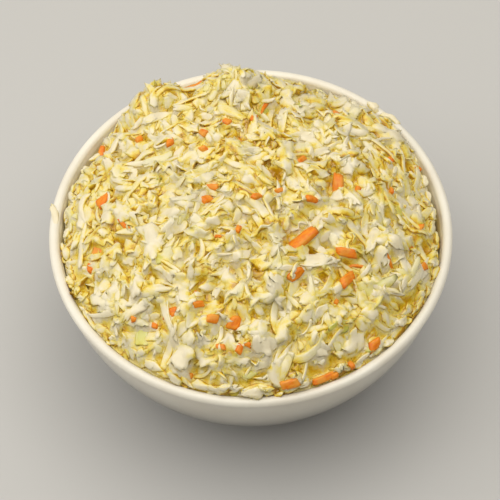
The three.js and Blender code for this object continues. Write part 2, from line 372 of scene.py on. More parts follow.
@dataclass(frozen=True)
class CarrotFinish:
    """Raw carrot, with the dressing thin over its cut faces."""

    flesh: Colour = screen(234, 139, 4)
    dark: Colour = screen(222, 113, 0)
    dressed: Colour = screen(230, 155, 52)
    fibre_size: float = 0.7
    fibre_squeeze: float = 0.25
    fibre_sway: float = 0.4
    fibre_edge: Span = (0.35, 0.65)
    patch_size: float = 2.6
    grain_size: float = 0.4
    dressed_by_tone: float = 0.3
    dressed_less: float = 0.12
    dressed_edge: Span = (0.45, 0.7)
    dressed_share: float = 0.85
    relief: Shares = (0.5, 0.3, 0.2)  # of fibres, patches and grain
    bump_depth: float = 0.2
    roughness: float = 0.5
    roughness_spread: float = 0.2
    scatter: float = 0.12
    scatter_colour: Shares = (1.0, 0.6, 0.2)
    scatter_depth: float = 1.2

    def material(self, name: str) -> bpy.types.Material:
        """Makes the material."""
        shader = Shader(name)
        fibre = shader.noise(self.fibre_size, 3, shader.along_piece(self.fibre_squeeze), self.fibre_sway)
        patches = shader.noise(self.patch_size)
        grain = shader.noise(self.grain_size, 2)
        hue = shader.mix(fibre.between(*self.fibre_edge), self.dark, self.flesh)
        wet = patches + shader.attribute("tone") * self.dressed_by_tone - self.dressed_less
        height = fibre * self.relief[0] + patches * self.relief[1] + grain * self.relief[2]
        return shader.surface(
            Base_Color=shader.mix(wet.between(*self.dressed_edge) * self.dressed_share, hue, self.dressed),
            Roughness=self.roughness + patches.swing(self.roughness_spread),
            Normal=shader.bump(height, self.bump_depth),
            Subsurface_Weight=self.scatter,
            Subsurface_Radius=self.scatter_colour,
            Subsurface_Scale=self.scatter_depth * MM,
        )


@dataclass(frozen=True)
class FloorFinish:
    """Plain pale floor."""

    colour: Colour = screen(190, 189, 187)
    roughness: float = 0.7
    specular: float = 0.2

    def material(self, name: str) -> bpy.types.Material:
        """Makes the material."""
        return Shader(name).surface(
            Base_Color=self.colour, Roughness=self.roughness, Specular_IOR_Level=self.specular)


# Meshes


def flat_object(name: str, data: bpy.types.ID) -> bpy.types.Object:
    """Puts a mesh, a lamp or a camera into the scene at the origin, as an object without a parent."""
    made = bpy.data.objects.new(name, data)
    bpy.context.scene.collection.objects.link(made)
    return made


def set_attribute(mesh: bpy.types.Mesh, name: str, values: Array) -> None:
    """Gives each point of a mesh a number, or a vector if the values are rows."""
    kind, entry = ("FLOAT_VECTOR", "vector") if values.ndim == 2 else ("FLOAT", "value")
    layer = mesh.attributes.new(name, kind, "POINT")
    layer.data.foreach_set(entry, values.astype(np.float32).ravel())


def mesh_from(name: str, points: Array, faces: Array, attributes: dict[str, Array]) -> bpy.types.Mesh:
    """Makes a smooth mesh.

    Args:
        name: the mesh's name.
        points: in millimetres, one row each.
        faces: corner numbers, one row of four each.
        attributes: a number or a vector for each point, by name.

    Returns:
        The mesh, in metres.
    """
    mesh = bpy.data.meshes.new(name)
    mesh.vertices.add(len(points))
    mesh.vertices.foreach_set("co", (points * MM).astype(np.float32).ravel())
    corners = faces.shape[1]
    mesh.loops.add(faces.size)
    mesh.loops.foreach_set("vertex_index", faces.astype(np.int32).ravel())
    mesh.polygons.add(len(faces))
    mesh.polygons.foreach_set("loop_start", np.arange(0, faces.size, corners, dtype=np.int32))
    mesh.polygons.foreach_set("use_smooth", np.ones(len(faces), bool))
    for key, values in attributes.items():
        set_attribute(mesh, key, values)
    mesh.update(calc_edges=True)
    mesh.validate()
    return mesh


def calm_normals(mesh: bpy.types.Mesh, heap: Array, share: float) -> Array:
    """Leans a mesh's normals towards those of the heap that it lies in, as a thin dressing over both does.

    Args:
        mesh: the mesh.
        heap: the heap's normal at each point.
        share: how far the points that face outwards lean.

    Returns:
        How far each point faces out of the heap by itself, from 0 to 1.
    """
    own = np.empty(len(mesh.vertices) * 3, np.float32)
    mesh.vertex_normals.foreach_get("vector", own)
    own = own.reshape(-1, 3)
    facing = np.clip((own * heap).sum(1), 0, 1)
    mixed = own + heap * share * facing[:, None]
    mixed /= np.linalg.norm(mixed, axis=1, keepdims=True) + TINY
    mesh.normals_split_custom_set_from_vertices(mixed.tolist())
    return facing


def baked(source: bpy.types.Object, name: str) -> bpy.types.Object:
    """Turns an object with its modifiers into a plain mesh object, and removes the old one."""
    graph = bpy.context.evaluated_depsgraph_get()
    mesh = bpy.data.meshes.new_from_object(source.evaluated_get(graph), depsgraph=graph)
    mesh.name = name
    bpy.data.objects.remove(source)
    return flat_object(name, mesh)


class GeometryGraph(Graph):
    """A Geometry Nodes tree with named inputs."""

    def __init__(self, name: str, inputs: dict[str, str]) -> None:
        """Starts a tree.

        Args:
            name: of the tree.
            inputs: socket type by input name, after the geometry.
        """
        super().__init__(bpy.data.node_groups.new(name, "GeometryNodeTree"))
        face = self.tree.interface
        face.new_socket("Geometry", in_out="INPUT", socket_type="NodeSocketGeometry")
        face.new_socket("Geometry", in_out="OUTPUT", socket_type="NodeSocketGeometry")
        self.names = {key: face.new_socket(key, in_out="INPUT", socket_type=kind).identifier
                      for key, kind in inputs.items()}
        self.inputs = self.node("NodeGroupInput").outputs

    def given(self, name: str) -> Value:
        """A named input."""
        return Value(self, self.inputs[name])

    def end(self, geometry: Any, finish: Any) -> None:
        """Realizes the instances, sets the material and ends the tree."""
        whole = self.value("GeometryNodeRealizeInstances", {}, {"Geometry": geometry})
        dressed = self.value("GeometryNodeSetMaterial", {}, {"Geometry": whole, "Material": finish})
        self.node("NodeGroupOutput", {}, {"Geometry": dressed})

    def run(self, source: bpy.types.Object, name: str, values: dict[str, Any]) -> bpy.types.Object:
        """Runs the tree on an object.

        Args:
            source: the object that the tree starts from, which is removed.
            name: of the result.
            values: what the named inputs are set to.

        Returns:
            The result, as a plain mesh object.
        """
        modifier = source.modifiers.new(self.tree.name, "NODES")
        modifier.node_group = self.tree
        for key, value in values.items():
            modifier[self.names[key]] = value
        return baked(source, name)


# Bowl


@dataclass
class Bowl:
    """The bowl: a half-round lip over a leaning arc, on a plain foot ring."""

    rim_radius: float
    height: float
    lip_radius: float = 1.7
    wall: float = 2.8
    wall_top_radius: float = 64.0
    wall_lean: float = math.radians(5.1)
    wall_arc: float = 76.4
    foot_radius: float = 33.5
    foot_width: float = 4.0
    foot_height: float = 4.0
    foot_recess: float = 2.2
    foot_edge: float = 0.8
    foot_easing: float = 0.3  # how far an edge's middle keeps from its corner, as a share of the edge
    floor_top: float = 6.0
    floor_radius: float = 27.0
    floor_curve: float = 2.0  # height over which the inside turns into the floor
    lip_start: float = -58.0  # degrees round the bead, where the outside meets it
    lip_overlap: float = 0.4  # how far below the bead's middle the inside starts
    wall_steps: int = 40
    lip_steps: int = 26
    sides: int = 192
    weld: float = 0.01  # points closer than this are one
    finish: GlazeFinish = field(default_factory=GlazeFinish)

    @property
    def lip_centre(self) -> tuple[float, float]:
        """Radius and height of the middle of the lip's bead."""
        return self.rim_radius - self.lip_radius, self.height - self.lip_radius

    @property
    def mouth(self) -> float:
        """Radius of the opening inside the lip."""
        return self.lip_centre[0] - self.lip_radius

    @property
    def arc_centre(self) -> tuple[float, float]:
        """Radius and height of the middle of the wall's arc."""
        radius = self.wall_top_radius - self.wall_arc * math.cos(self.wall_lean)
        return radius, self.height - 2 * self.lip_radius + self.wall_arc * math.sin(self.wall_lean)

    def inside(self, height: Array | float) -> Array:
        """Radius of the bowl's inside at a height."""
        across, up = self.arc_centre
        below = np.minimum(height, self.lip_centre[1])
        wall = across + np.sqrt((self.wall_arc - self.wall) ** 2 - (up - below) ** 2)
        return np.minimum(wall, self.mouth)

    def outline(self) -> Array:
        """Points of the cut from the axis under the foot, up the outside and down the inside."""
        across, up = self.arc_centre
        inner = self.foot_radius - self.foot_width
        outer = self.foot_radius
        recess = self.foot_recess
        edge = self.foot_edge
        ease = edge * self.foot_easing
        points = [
            (0.0, recess), (inner + edge, recess), (inner + ease, recess - ease), (inner, recess - edge),
            (inner + edge, edge), (inner + edge + ease, ease), (inner + 2 * edge, 0.0),
            (outer - edge, 0.0), (outer - ease, ease), (outer, edge),
        ]
        wall_top = self.height - 2 * self.lip_radius
        for level in np.linspace(self.foot_height, wall_top, self.wall_steps):
            points.append((across + math.sqrt(self.wall_arc**2 - (up - level) ** 2), level))
        for angle in np.radians(np.linspace(self.lip_start, 180, self.lip_steps)):
            points.append((self.lip_centre[0] + self.lip_radius * math.cos(angle),
                           self.lip_centre[1] + self.lip_radius * math.sin(angle)))
        inside = self.lip_centre[1] - self.lip_overlap, self.floor_top + self.floor_curve
        for level in np.linspace(*inside, self.lip_steps):
            points.append((float(self.inside(level)), level))
        points += [(self.floor_radius, self.floor_top), (0.0, self.floor_top)]
        return np.array(points)

    def build(self) -> bpy.types.Object:
        """Turns the outline about the axis with Geometry Nodes.

        Returns:
            The glazed bowl.
        """
        outline = self.outline()
        points = np.column_stack([outline[:, 0], np.zeros(len(outline)), outline[:, 1]])
        line = bpy.data.meshes.new("bowl_outline")
        line.from_pydata((points * MM).tolist(), [(i, i + 1) for i in range(len(points) - 1)], [])
        graph = GeometryGraph("turned_bowl", {"Sides": "NodeSocketInt", "Points": "NodeSocketInt",
                                              "Finish": "NodeSocketMaterial"})
        around = graph.given("Sides") + 1
        size = {"Vertices X": graph.given("Points"), "Vertices Y": around}
        sheet = graph.value("GeometryNodeMeshGrid", {}, size)
        index = graph.value("GeometryNodeInputIndex", {}, {})
        row = graph.math("FLOOR", (index + 0.5) / around)
        column = index - row * around
        sampled = graph.value("GeometryNodeSampleIndex", {"data_type": "FLOAT_VECTOR", "clamp": True}, {
            "Geometry": graph.given("Geometry"),
            "Value": graph.value("GeometryNodeInputPosition", {}, {}),
            "Index": row,
        })
        parts = graph.node("ShaderNodeSeparateXYZ", {}, {"Vector": sampled}).outputs
        radius = Value(graph, parts["X"])
        angle = column / graph.given("Sides") * TURN
        spot = graph.value("ShaderNodeCombineXYZ", {}, {
            "X": radius * graph.math("COSINE", angle),
            "Y": radius * graph.math("SINE", angle),
            "Z": parts["Z"],
        })
        turned = graph.value("GeometryNodeSetPosition", {}, {"Geometry": sheet, "Position": spot})
        welded = {"Geometry": turned, "Distance": self.weld * MM}
        closed = graph.value("GeometryNodeMergeByDistance", {}, welded)
        smooth = graph.value("GeometryNodeSetShadeSmooth", {}, {"Geometry": closed})
        graph.end(smooth, graph.given("Finish"))
        glaze = self.finish.material("off_white_glaze")
        values = {"Sides": self.sides, "Points": len(outline), "Finish": glaze}
        return graph.run(flat_object("bowl_outline", line), "bowl_turned", values)


# Heap surface


@dataclass(frozen=True)
class Clump:
    """A rise or, below 0, a dip in the heap: its middle, its height, and how far it spreads along x and y."""

    x: float
    y: float
    height: float
    spread: tuple[float, float]

    def lift(self, x: Array, y: Array) -> Array:
        """How much the clump adds at a place."""
        across = (x - self.x) / self.spread[0]
        along = (y - self.y) / self.spread[1]
        return self.height * np.exp(-(across**2 + along**2) / 2)


@dataclass
class Dome:
    """The surface that the pieces build up to: a dome in the bowl, with two clumps and a dip at its back."""

    bowl: Bowl
    gaps: tuple[Span, ...] = (  # between wall and slaw: degrees round the bowl, and millimetres
        (0, 2.4), (12, 2.4), (22, 1.6), (30, 0.3), (46, -0.9), (54, 1.2), (66, 1.8), (80, 1.0), (90, 0.2),
        (101, 0.3), (110, 1.2), (121, 0.2), (134, 0.8), (143, 1.8), (150, 3.2), (157, 2.4), (166, 1.2),
        (180, 1.9), (192, 1.2), (205, 0.7), (225, 0.2), (245, -0.2), (270, -0.9), (295, 0.0), (312, 1.0),
        (324, 1.3), (334, 0.2), (344, 0.4), (353, 1.8),
    )
    drop: float = 1.2  # of the edge below the rim
    drop_by_gap: float = 0.9  # and further, for each millimetre of the gap
    rise: float = 22.6  # of the middle over the rim
    fullness: float = 0.7  # lower is fuller towards the edge
    clumps: tuple[Clump, ...] = (
        Clump(-6.0, 50.0, 11.5, (9.5, 8.0)), Clump(-33.5, 46.0, 16.0, (6.0, 7.0)),
        Clump(-20.0, 56.0, -6.0, (4.5, 6.0)),
    )
    clump_edge: float = 0.3  # how suddenly the clumps end at the heap's edge
    unevenness: float = 3.2
    proud: float = 4.5  # how far a piece may stand over the surface

    def gap(self, angle: Array) -> Array:
        """Width of the gap between the wall and the slaw, below 0 where the slaw comes over the lip."""
        degrees, widths = zip(*self.gaps)
        return np.interp(np.degrees(angle) % 360, degrees, widths, period=360)

    def reach(self, angle: Array) -> Array:
        """How far from the axis the slaw comes."""
        return self.bowl.mouth - self.gap(angle)

    def edge(self, angle: Array) -> Array:
        """Height of the slaw's edge, lower where it keeps off the wall."""
        uneven = 0.35 * np.sin(3 * angle + 0.8) + 0.25 * np.sin(7 * angle)
        return self.bowl.height - self.drop - self.drop_by_gap * np.clip(self.gap(angle), 0, None) + uneven

    def height(self, x: Array, y: Array) -> Array:
        """Height of the surface at a place.

        Args:
            x, y: the places, in millimetres.

        Returns:
            The heights, held at the edge's height beyond the slaw.
        """
        angle = np.arctan2(y, x)
        edge = self.edge(angle)
        share = np.clip(np.hypot(x, y) / self.reach(angle), 0, 1)
        inward = (1 - share**2) ** self.fullness
        clump = sum(clump.lift(x, y) for clump in self.clumps) * inward**self.clump_edge
        waves = np.sin(x * 0.33 + 1.3 * np.sin(y * 0.21)) * np.sin(y * 0.37 + 1.1 * np.sin(x * 0.17))
        rise = self.bowl.height + self.rise - edge
        return edge + rise * inward + clump + self.unevenness * waves * inward**0.5

    def frame(self, x: float, y: float, heading: float) -> Array:
        """Three unit vectors at a place: along the heading, across it, and out of the dome."""
        step = 1.5
        heights = self.height(np.array([x + step, x - step, x, x]), np.array([y, y, y + step, y - step]))
        slope = (heights[0] - heights[1]) / (2 * step), (heights[2] - heights[3]) / (2 * step)
        out = np.array([-slope[0], -slope[1], 1.0])
        out /= np.linalg.norm(out)
        level = np.array([math.cos(heading), math.sin(heading), 0.0])
        along = level - out * (level @ out)
        along /= np.linalg.norm(along)
        return np.array([along, np.cross(out, along), out])


class Field:
    """Height of what lies in the bowl so far, on a square grid. Lengths are millimetres."""

    LIP_MARGIN = 0.5  # kept from the lip where heights are averaged
    SHALLOW_BELT = 8.0  # along the wall, where the bare core comes up
    SHALLOW_SHARE = 0.4  # to this share of its depth
    GRID_END = 1.001  # keeps a place at the grid's end within its last cell

    def __init__(self, dome: Dome, depth: float, cell: float = 0.4, reach: float = 67.0) -> None:
        """Starts with the bare core in the bowl.

        Args:
            dome: the surface that the pieces build up to.
            depth: how far under it the bare core lies.
            cell: size of the grid's cells.
            reach: half of the grid's side.
        """
        self.cell = cell
        self.reach = reach
        axis = np.arange(-reach, reach + cell, cell)
        self.count = len(axis)
        self.x, self.y = np.meshgrid(axis, axis, indexing="ij")
        radius = np.hypot(self.x, self.y)
        bowl = dome.bowl
        over_lip = np.clip(bowl.lip_radius**2 - (radius - bowl.lip_centre[0]) ** 2, 0, None)
        lip = bowl.lip_centre[1] + np.sqrt(over_lip)
        self.target = dome.height(self.x, self.y)
        self.within = radius < bowl.mouth - self.LIP_MARGIN
        inward = dome.reach(np.arctan2(self.y, self.x)) - radius
        share = np.clip(inward / self.SHALLOW_BELT, self.SHALLOW_SHARE, 1)
        self.heights = np.where(radius < bowl.mouth, self.target - depth * share, lip)

    def _cells(self, x: Array, y: Array) -> tuple[Array, Array]:
        """Grid coordinates of places, kept inside the grid."""
        most = self.count - self.GRID_END
        return np.clip((x + self.reach) / self.cell, 0, most), np.clip((y + self.reach) / self.cell, 0, most)

    def at(self, x: Array, y: Array, heights: Array | None = None) -> Array:
        """Height at places, blended between cells."""
        grid = self.heights if heights is None else heights
        fx, fy = self._cells(x, y)
        ix = fx.astype(int)
        iy = fy.astype(int)
        sx = fx - ix
        sy = fy - iy
        low = grid[ix, iy] * (1 - sx) + grid[ix + 1, iy] * sx
        high = grid[ix, iy + 1] * (1 - sx) + grid[ix + 1, iy + 1] * sx
        return low * (1 - sy) + high * sy

    def cover(self, points: Array) -> None:
        """Raises the field to a piece's upper face.

        Args:
            points: a grid of points, three numbers each.
        """
        fine = points
        for axis in (0, 1):
            for _ in range(2 if points.shape[axis] < 9 else 1):
                a = np.take(fine, range(fine.shape[axis] - 1), axis)
                b = np.take(fine, range(1, fine.shape[axis]), axis)
                pair = np.stack([a, (a + b) / 2], axis + 1)
                shape = list(a.shape)
                shape[axis] *= 2
                fine = np.concatenate([pair.reshape(shape), np.take(fine, [-1], axis)], axis)
        fx, fy = self._cells(fine[..., 0], fine[..., 1])
        cells = (np.rint(fx).astype(int) * self.count + np.rint(fy).astype(int)).ravel()
        np.maximum.at(self.heights.reshape(-1), cells, fine[..., 2].ravel())

    def blurred(self, width: float) -> Array:
        """The heights, smoothed over a width in millimetres but for the dome's own shape."""
        reach = int(3 * width / self.cell)
        steps = np.arange(-reach, reach + 1) * self.cell
        kernel = np.exp(-0.5 * (steps / width) ** 2)

        def spread(grid: Array) -> Array:
            """A grid whose cells are summed with their neighbours, by the kernel's weights."""
            for axis in (0, 1):
                grid = np.apply_along_axis(np.convolve, axis, grid, kernel, "same")
            return grid

        lack = spread(np.where(self.within, self.target - self.heights, 0.0))
        return self.target - lack / (spread(self.within.astype(float)) + TINY)

    def facing(self, points: Array, heights: Array) -> Array:
        """The normal of a surface of heights, at points."""
        slopes = [self.at(points[:, 0], points[:, 1], slope) for slope in np.gradient(heights, self.cell)]
        normal = np.column_stack([-slopes[0], -slopes[1], np.ones(len(points))])
        return normal / np.linalg.norm(normal, axis=1, keepdims=True)


# Pieces


@dataclass(frozen=True)
class Form:
    """How one kind of piece is cut and bent: millimetres, and degrees over the whole piece."""

    length: Span
    width: Span
    thick: Span
    grid: tuple[int, int] = (10, 5)
    sides: int = 0  # straight cut sides, or 0 for a strip
    ends: float = 0.3  # how round a strip's ends are
    skew: float = 0.5  # most that it leans over, as a share of its width
    taper: Span = (0.0, 0.4)  # share of the width that the ends lose
    wedge: float = 0.2  # most that one end is wider than the other
    ragged: float = 0.06  # unevenness of the edge, as a share of its size
    bend: float = 30.0  # sideways
    arch: float = 30.0  # along
    curl: float = 30.0  # across
    twist: float = 30.0
    crease: float = 0.0  # share of pieces with a fold
    ruffle: float = 0.0  # of the edge
    pleats: float = 0.0  # height of folds that run out from the middle
    lumps: float = 0.12  # share of unevenness in thickness and height
    tilt: float = 12.0
    drape: float = 0.6  # share of its bending that follows what it lies on
    sink: float = 0.6  # share of the underside that ends up above what it lies on
    calm: float = 1.2  # how much it is shaded as part of the heap
    blunt: float = 4.5  # how square its edges are
    rib: float = 0.0  # share of pieces with a thick midrib
    tone: Span = (0.0, 0.7)  # from pale to yellow
    green: Span = (0.0, 0.35)


class Kind(Enum):
    """The kinds of piece, each joined into one mesh."""

    SHRED = "cabbage_shreds"
    STRAND = "cabbage_strands"
    LEAF = "cabbage_leaf_pieces"
    CHUNK = "cabbage_rib_chunks"
    BIT = "cabbage_bits"
    GREEN = "green_leaf_pieces"
    CARROT = "carrot_sticks"
    CARROT_SHRED = "carrot_shreds"


FORMS: dict[Kind, Form] = {
    Kind.SHRED: Form(length=(8, 19), width=(2.0, 4.0), thick=(1.0, 1.7), grid=(13, 6), bend=100, arch=80,
                     curl=60, twist=70, tilt=19, drape=0.45, wedge=0.6, taper=(0.1, 0.7), ragged=0.1,
                     lumps=0.3, sink=0.42, green=(0.0, 0.5)),
    Kind.STRAND: Form(length=(4, 12), width=(0.9, 1.8), thick=(0.7, 1.1), grid=(9, 4), bend=120, arch=60,
                      curl=20, twist=60, tilt=14, drape=0.7, wedge=0.5, taper=(0.0, 0.6), sink=0.5,
                      tone=(0.0, 0.5)),
    Kind.LEAF: Form(length=(7, 15), width=(5, 11), thick=(1.0, 1.8), grid=(13, 9), sides=5, ends=0.0,
                    ragged=0.13, green=(0.0, 0.5), bend=15, arch=70, curl=95, twist=50, crease=0.8,
                    ruffle=1.0, pleats=1.7, tilt=20, drape=0.35, sink=0.42, rib=0.3, wedge=0.4,
                    taper=(0.0, 0.3)),
    Kind.CHUNK: Form(length=(4, 8), width=(3, 5.5), thick=(2.0, 3.2), grid=(8, 7), sides=5, ends=0.0,
                     ragged=0.12, bend=30, arch=40, curl=50, twist=40, crease=0.5, lumps=0.35, tilt=16,
                     drape=0.3, sink=0.38, wedge=0.5, taper=(0.0, 0.4), blunt=4,
                     tone=(0.0, 0.5), green=(0.0, 0.3)),
    Kind.BIT: Form(length=(3, 7), width=(1.8, 4), thick=(0.8, 1.4), grid=(7, 6), sides=5, ends=0.0,
                   ragged=0.15, bend=40, arch=60, curl=60, twist=50, crease=0.4, ruffle=0.2, lumps=0.3,
                   tilt=18, drape=0.5, sink=0.42, wedge=0.5, taper=(0.0, 0.5), green=(0.0, 0.6)),
    Kind.GREEN: Form(length=(4, 10), width=(2.5, 6), thick=(0.5, 0.9), grid=(11, 8), sides=5, ends=0.0,
                     ragged=0.16, bend=20, arch=40, curl=90, twist=40, crease=0.8, ruffle=0.6, pleats=1.3,
                     tilt=14, drape=0.6, sink=0.45, wedge=0.4, tone=(0.3, 0.9), green=(0.5, 0.95)),
    Kind.CARROT: Form(length=(5, 11), width=(2.8, 4.2), thick=(1.8, 2.8), grid=(10, 7), ends=0.15,
                      taper=(0.0, 0.3), ragged=0.03, bend=15, arch=15, curl=10, twist=20, lumps=0.15,
                      tilt=8, drape=0.2, sink=0.3, calm=0.3, blunt=8, wedge=0.2, tone=(0.0, 1.0)),
    Kind.CARROT_SHRED: Form(length=(5, 10), width=(0.9, 1.5), thick=(0.6, 0.9), grid=(11, 5), bend=70,
                            arch=40, curl=10, twist=40, tilt=8, drape=0.8, sink=0.5, calm=0.3,
                            tone=(0.0, 0.7)),
}


@functools.lru_cache(maxsize=None)
def piece_faces(rows: int, columns: int) -> Array:
    """Quads of a closed piece whose two faces share their outer edge.

    Args:
        rows, columns: points of the grid along and across.

    Returns:
        Corner numbers. The upper face's points come first, then the inner points of the lower face.
    """
    upper = np.arange(rows * columns).reshape(rows, columns)
    lower = upper.copy()
    inner = (rows - 2) * (columns - 2)
    lower[1:-1, 1:-1] = rows * columns + np.arange(inner).reshape(rows - 2, columns - 2)

    def quads(grid: Array) -> Array:
        """Quads between the points of one face."""
        return np.stack([grid[:-1, :-1], grid[1:, :-1], grid[1:, 1:], grid[:-1, 1:]], -1).reshape(-1, 4)

    return np.concatenate([quads(upper), quads(lower)[:, ::-1]])


def closed(upper: Array, lower: Array) -> Array:
    """The rows of a closed piece: all of its upper face's, and the inner ones of its lower face."""
    return np.concatenate([upper.reshape(-1, 3), lower[1:-1, 1:-1].reshape(-1, 3)])


def spaced(count: int) -> Array:
    """Numbers from -1 to 1, closer together towards both ends."""
    line = np.linspace(-1, 1, count)
    return 0.45 * np.sin(line * math.pi / 2) + 0.55 * line


def rolled(along: Array, off: Array | float, bend: float) -> tuple[Array, Array]:
    """Rolls a straight line up into an arc, with what stands off it.

    Args:
        along: distances on the line.
        off: how far each point stands off it.
        bend: of the arc, in radians per millimetre.

    Returns:
        Distances along and off the line's start direction.
    """
    lean = bend * along
    straight = abs(bend) < STRAIGHT
    arc = along if straight else np.sin(lean) / bend
    rise = along * 0 if straight else (1 - np.cos(lean)) / bend
    return arc - off * np.sin(lean), rise + off * np.cos(lean)


def ripples(rng: np.random.Generator, along: Array, across: Array, pitch: float) -> Array:
    """Soft random unevenness between about -1 and 1, with the given pitch in millimetres."""
    total = np.zeros_like(along)
    for _ in range(3):
        heading = rng.uniform(0, TURN)
        line = along * math.cos(heading) + across * math.sin(heading)
        wave = line * TURN / (pitch * rng.uniform(0.7, 1.5))
        total = total + np.sin(wave + rng.uniform(0, TURN))
    return total / 3


def smoothed(grid: Array, times: int) -> Array:
    """A grid whose values are averaged with their neighbours a number of times."""
    for _ in range(times):
        for axis in (0, 1):
            padded = np.concatenate([np.take(grid, [0], axis), grid, np.take(grid, [-1], axis)], axis)
            count = grid.shape[axis]
            before = np.take(padded, range(count), axis)
            after = np.take(padded, range(2, count + 2), axis)
            grid = (before + 2 * grid + after) / 4
    return grid


@dataclass
class Piece:
    """One cut piece, lying in the heap."""

    points: Array
    under: Array  # 0 on its upper side, 1 on its lower
    cut: Array  # each point's place on the piece as it was cut
    faces: Array
    tone: float
    green: float
    top: Array


@dataclass
class Place:
    """Where a piece goes: its middle, heading in radians, and its own sizes if they are known."""

    x: float
    y: float
    heading: float
    length: float | None = None
    width: float | None = None
    tone: float | None = None
    green: float | None = None
    reach: float | None = None  # from the axis, if it may lie over the rim
    stray: float = 0.0  # how much further than the heap it may come
    snug: bool = False  # lies at that limit


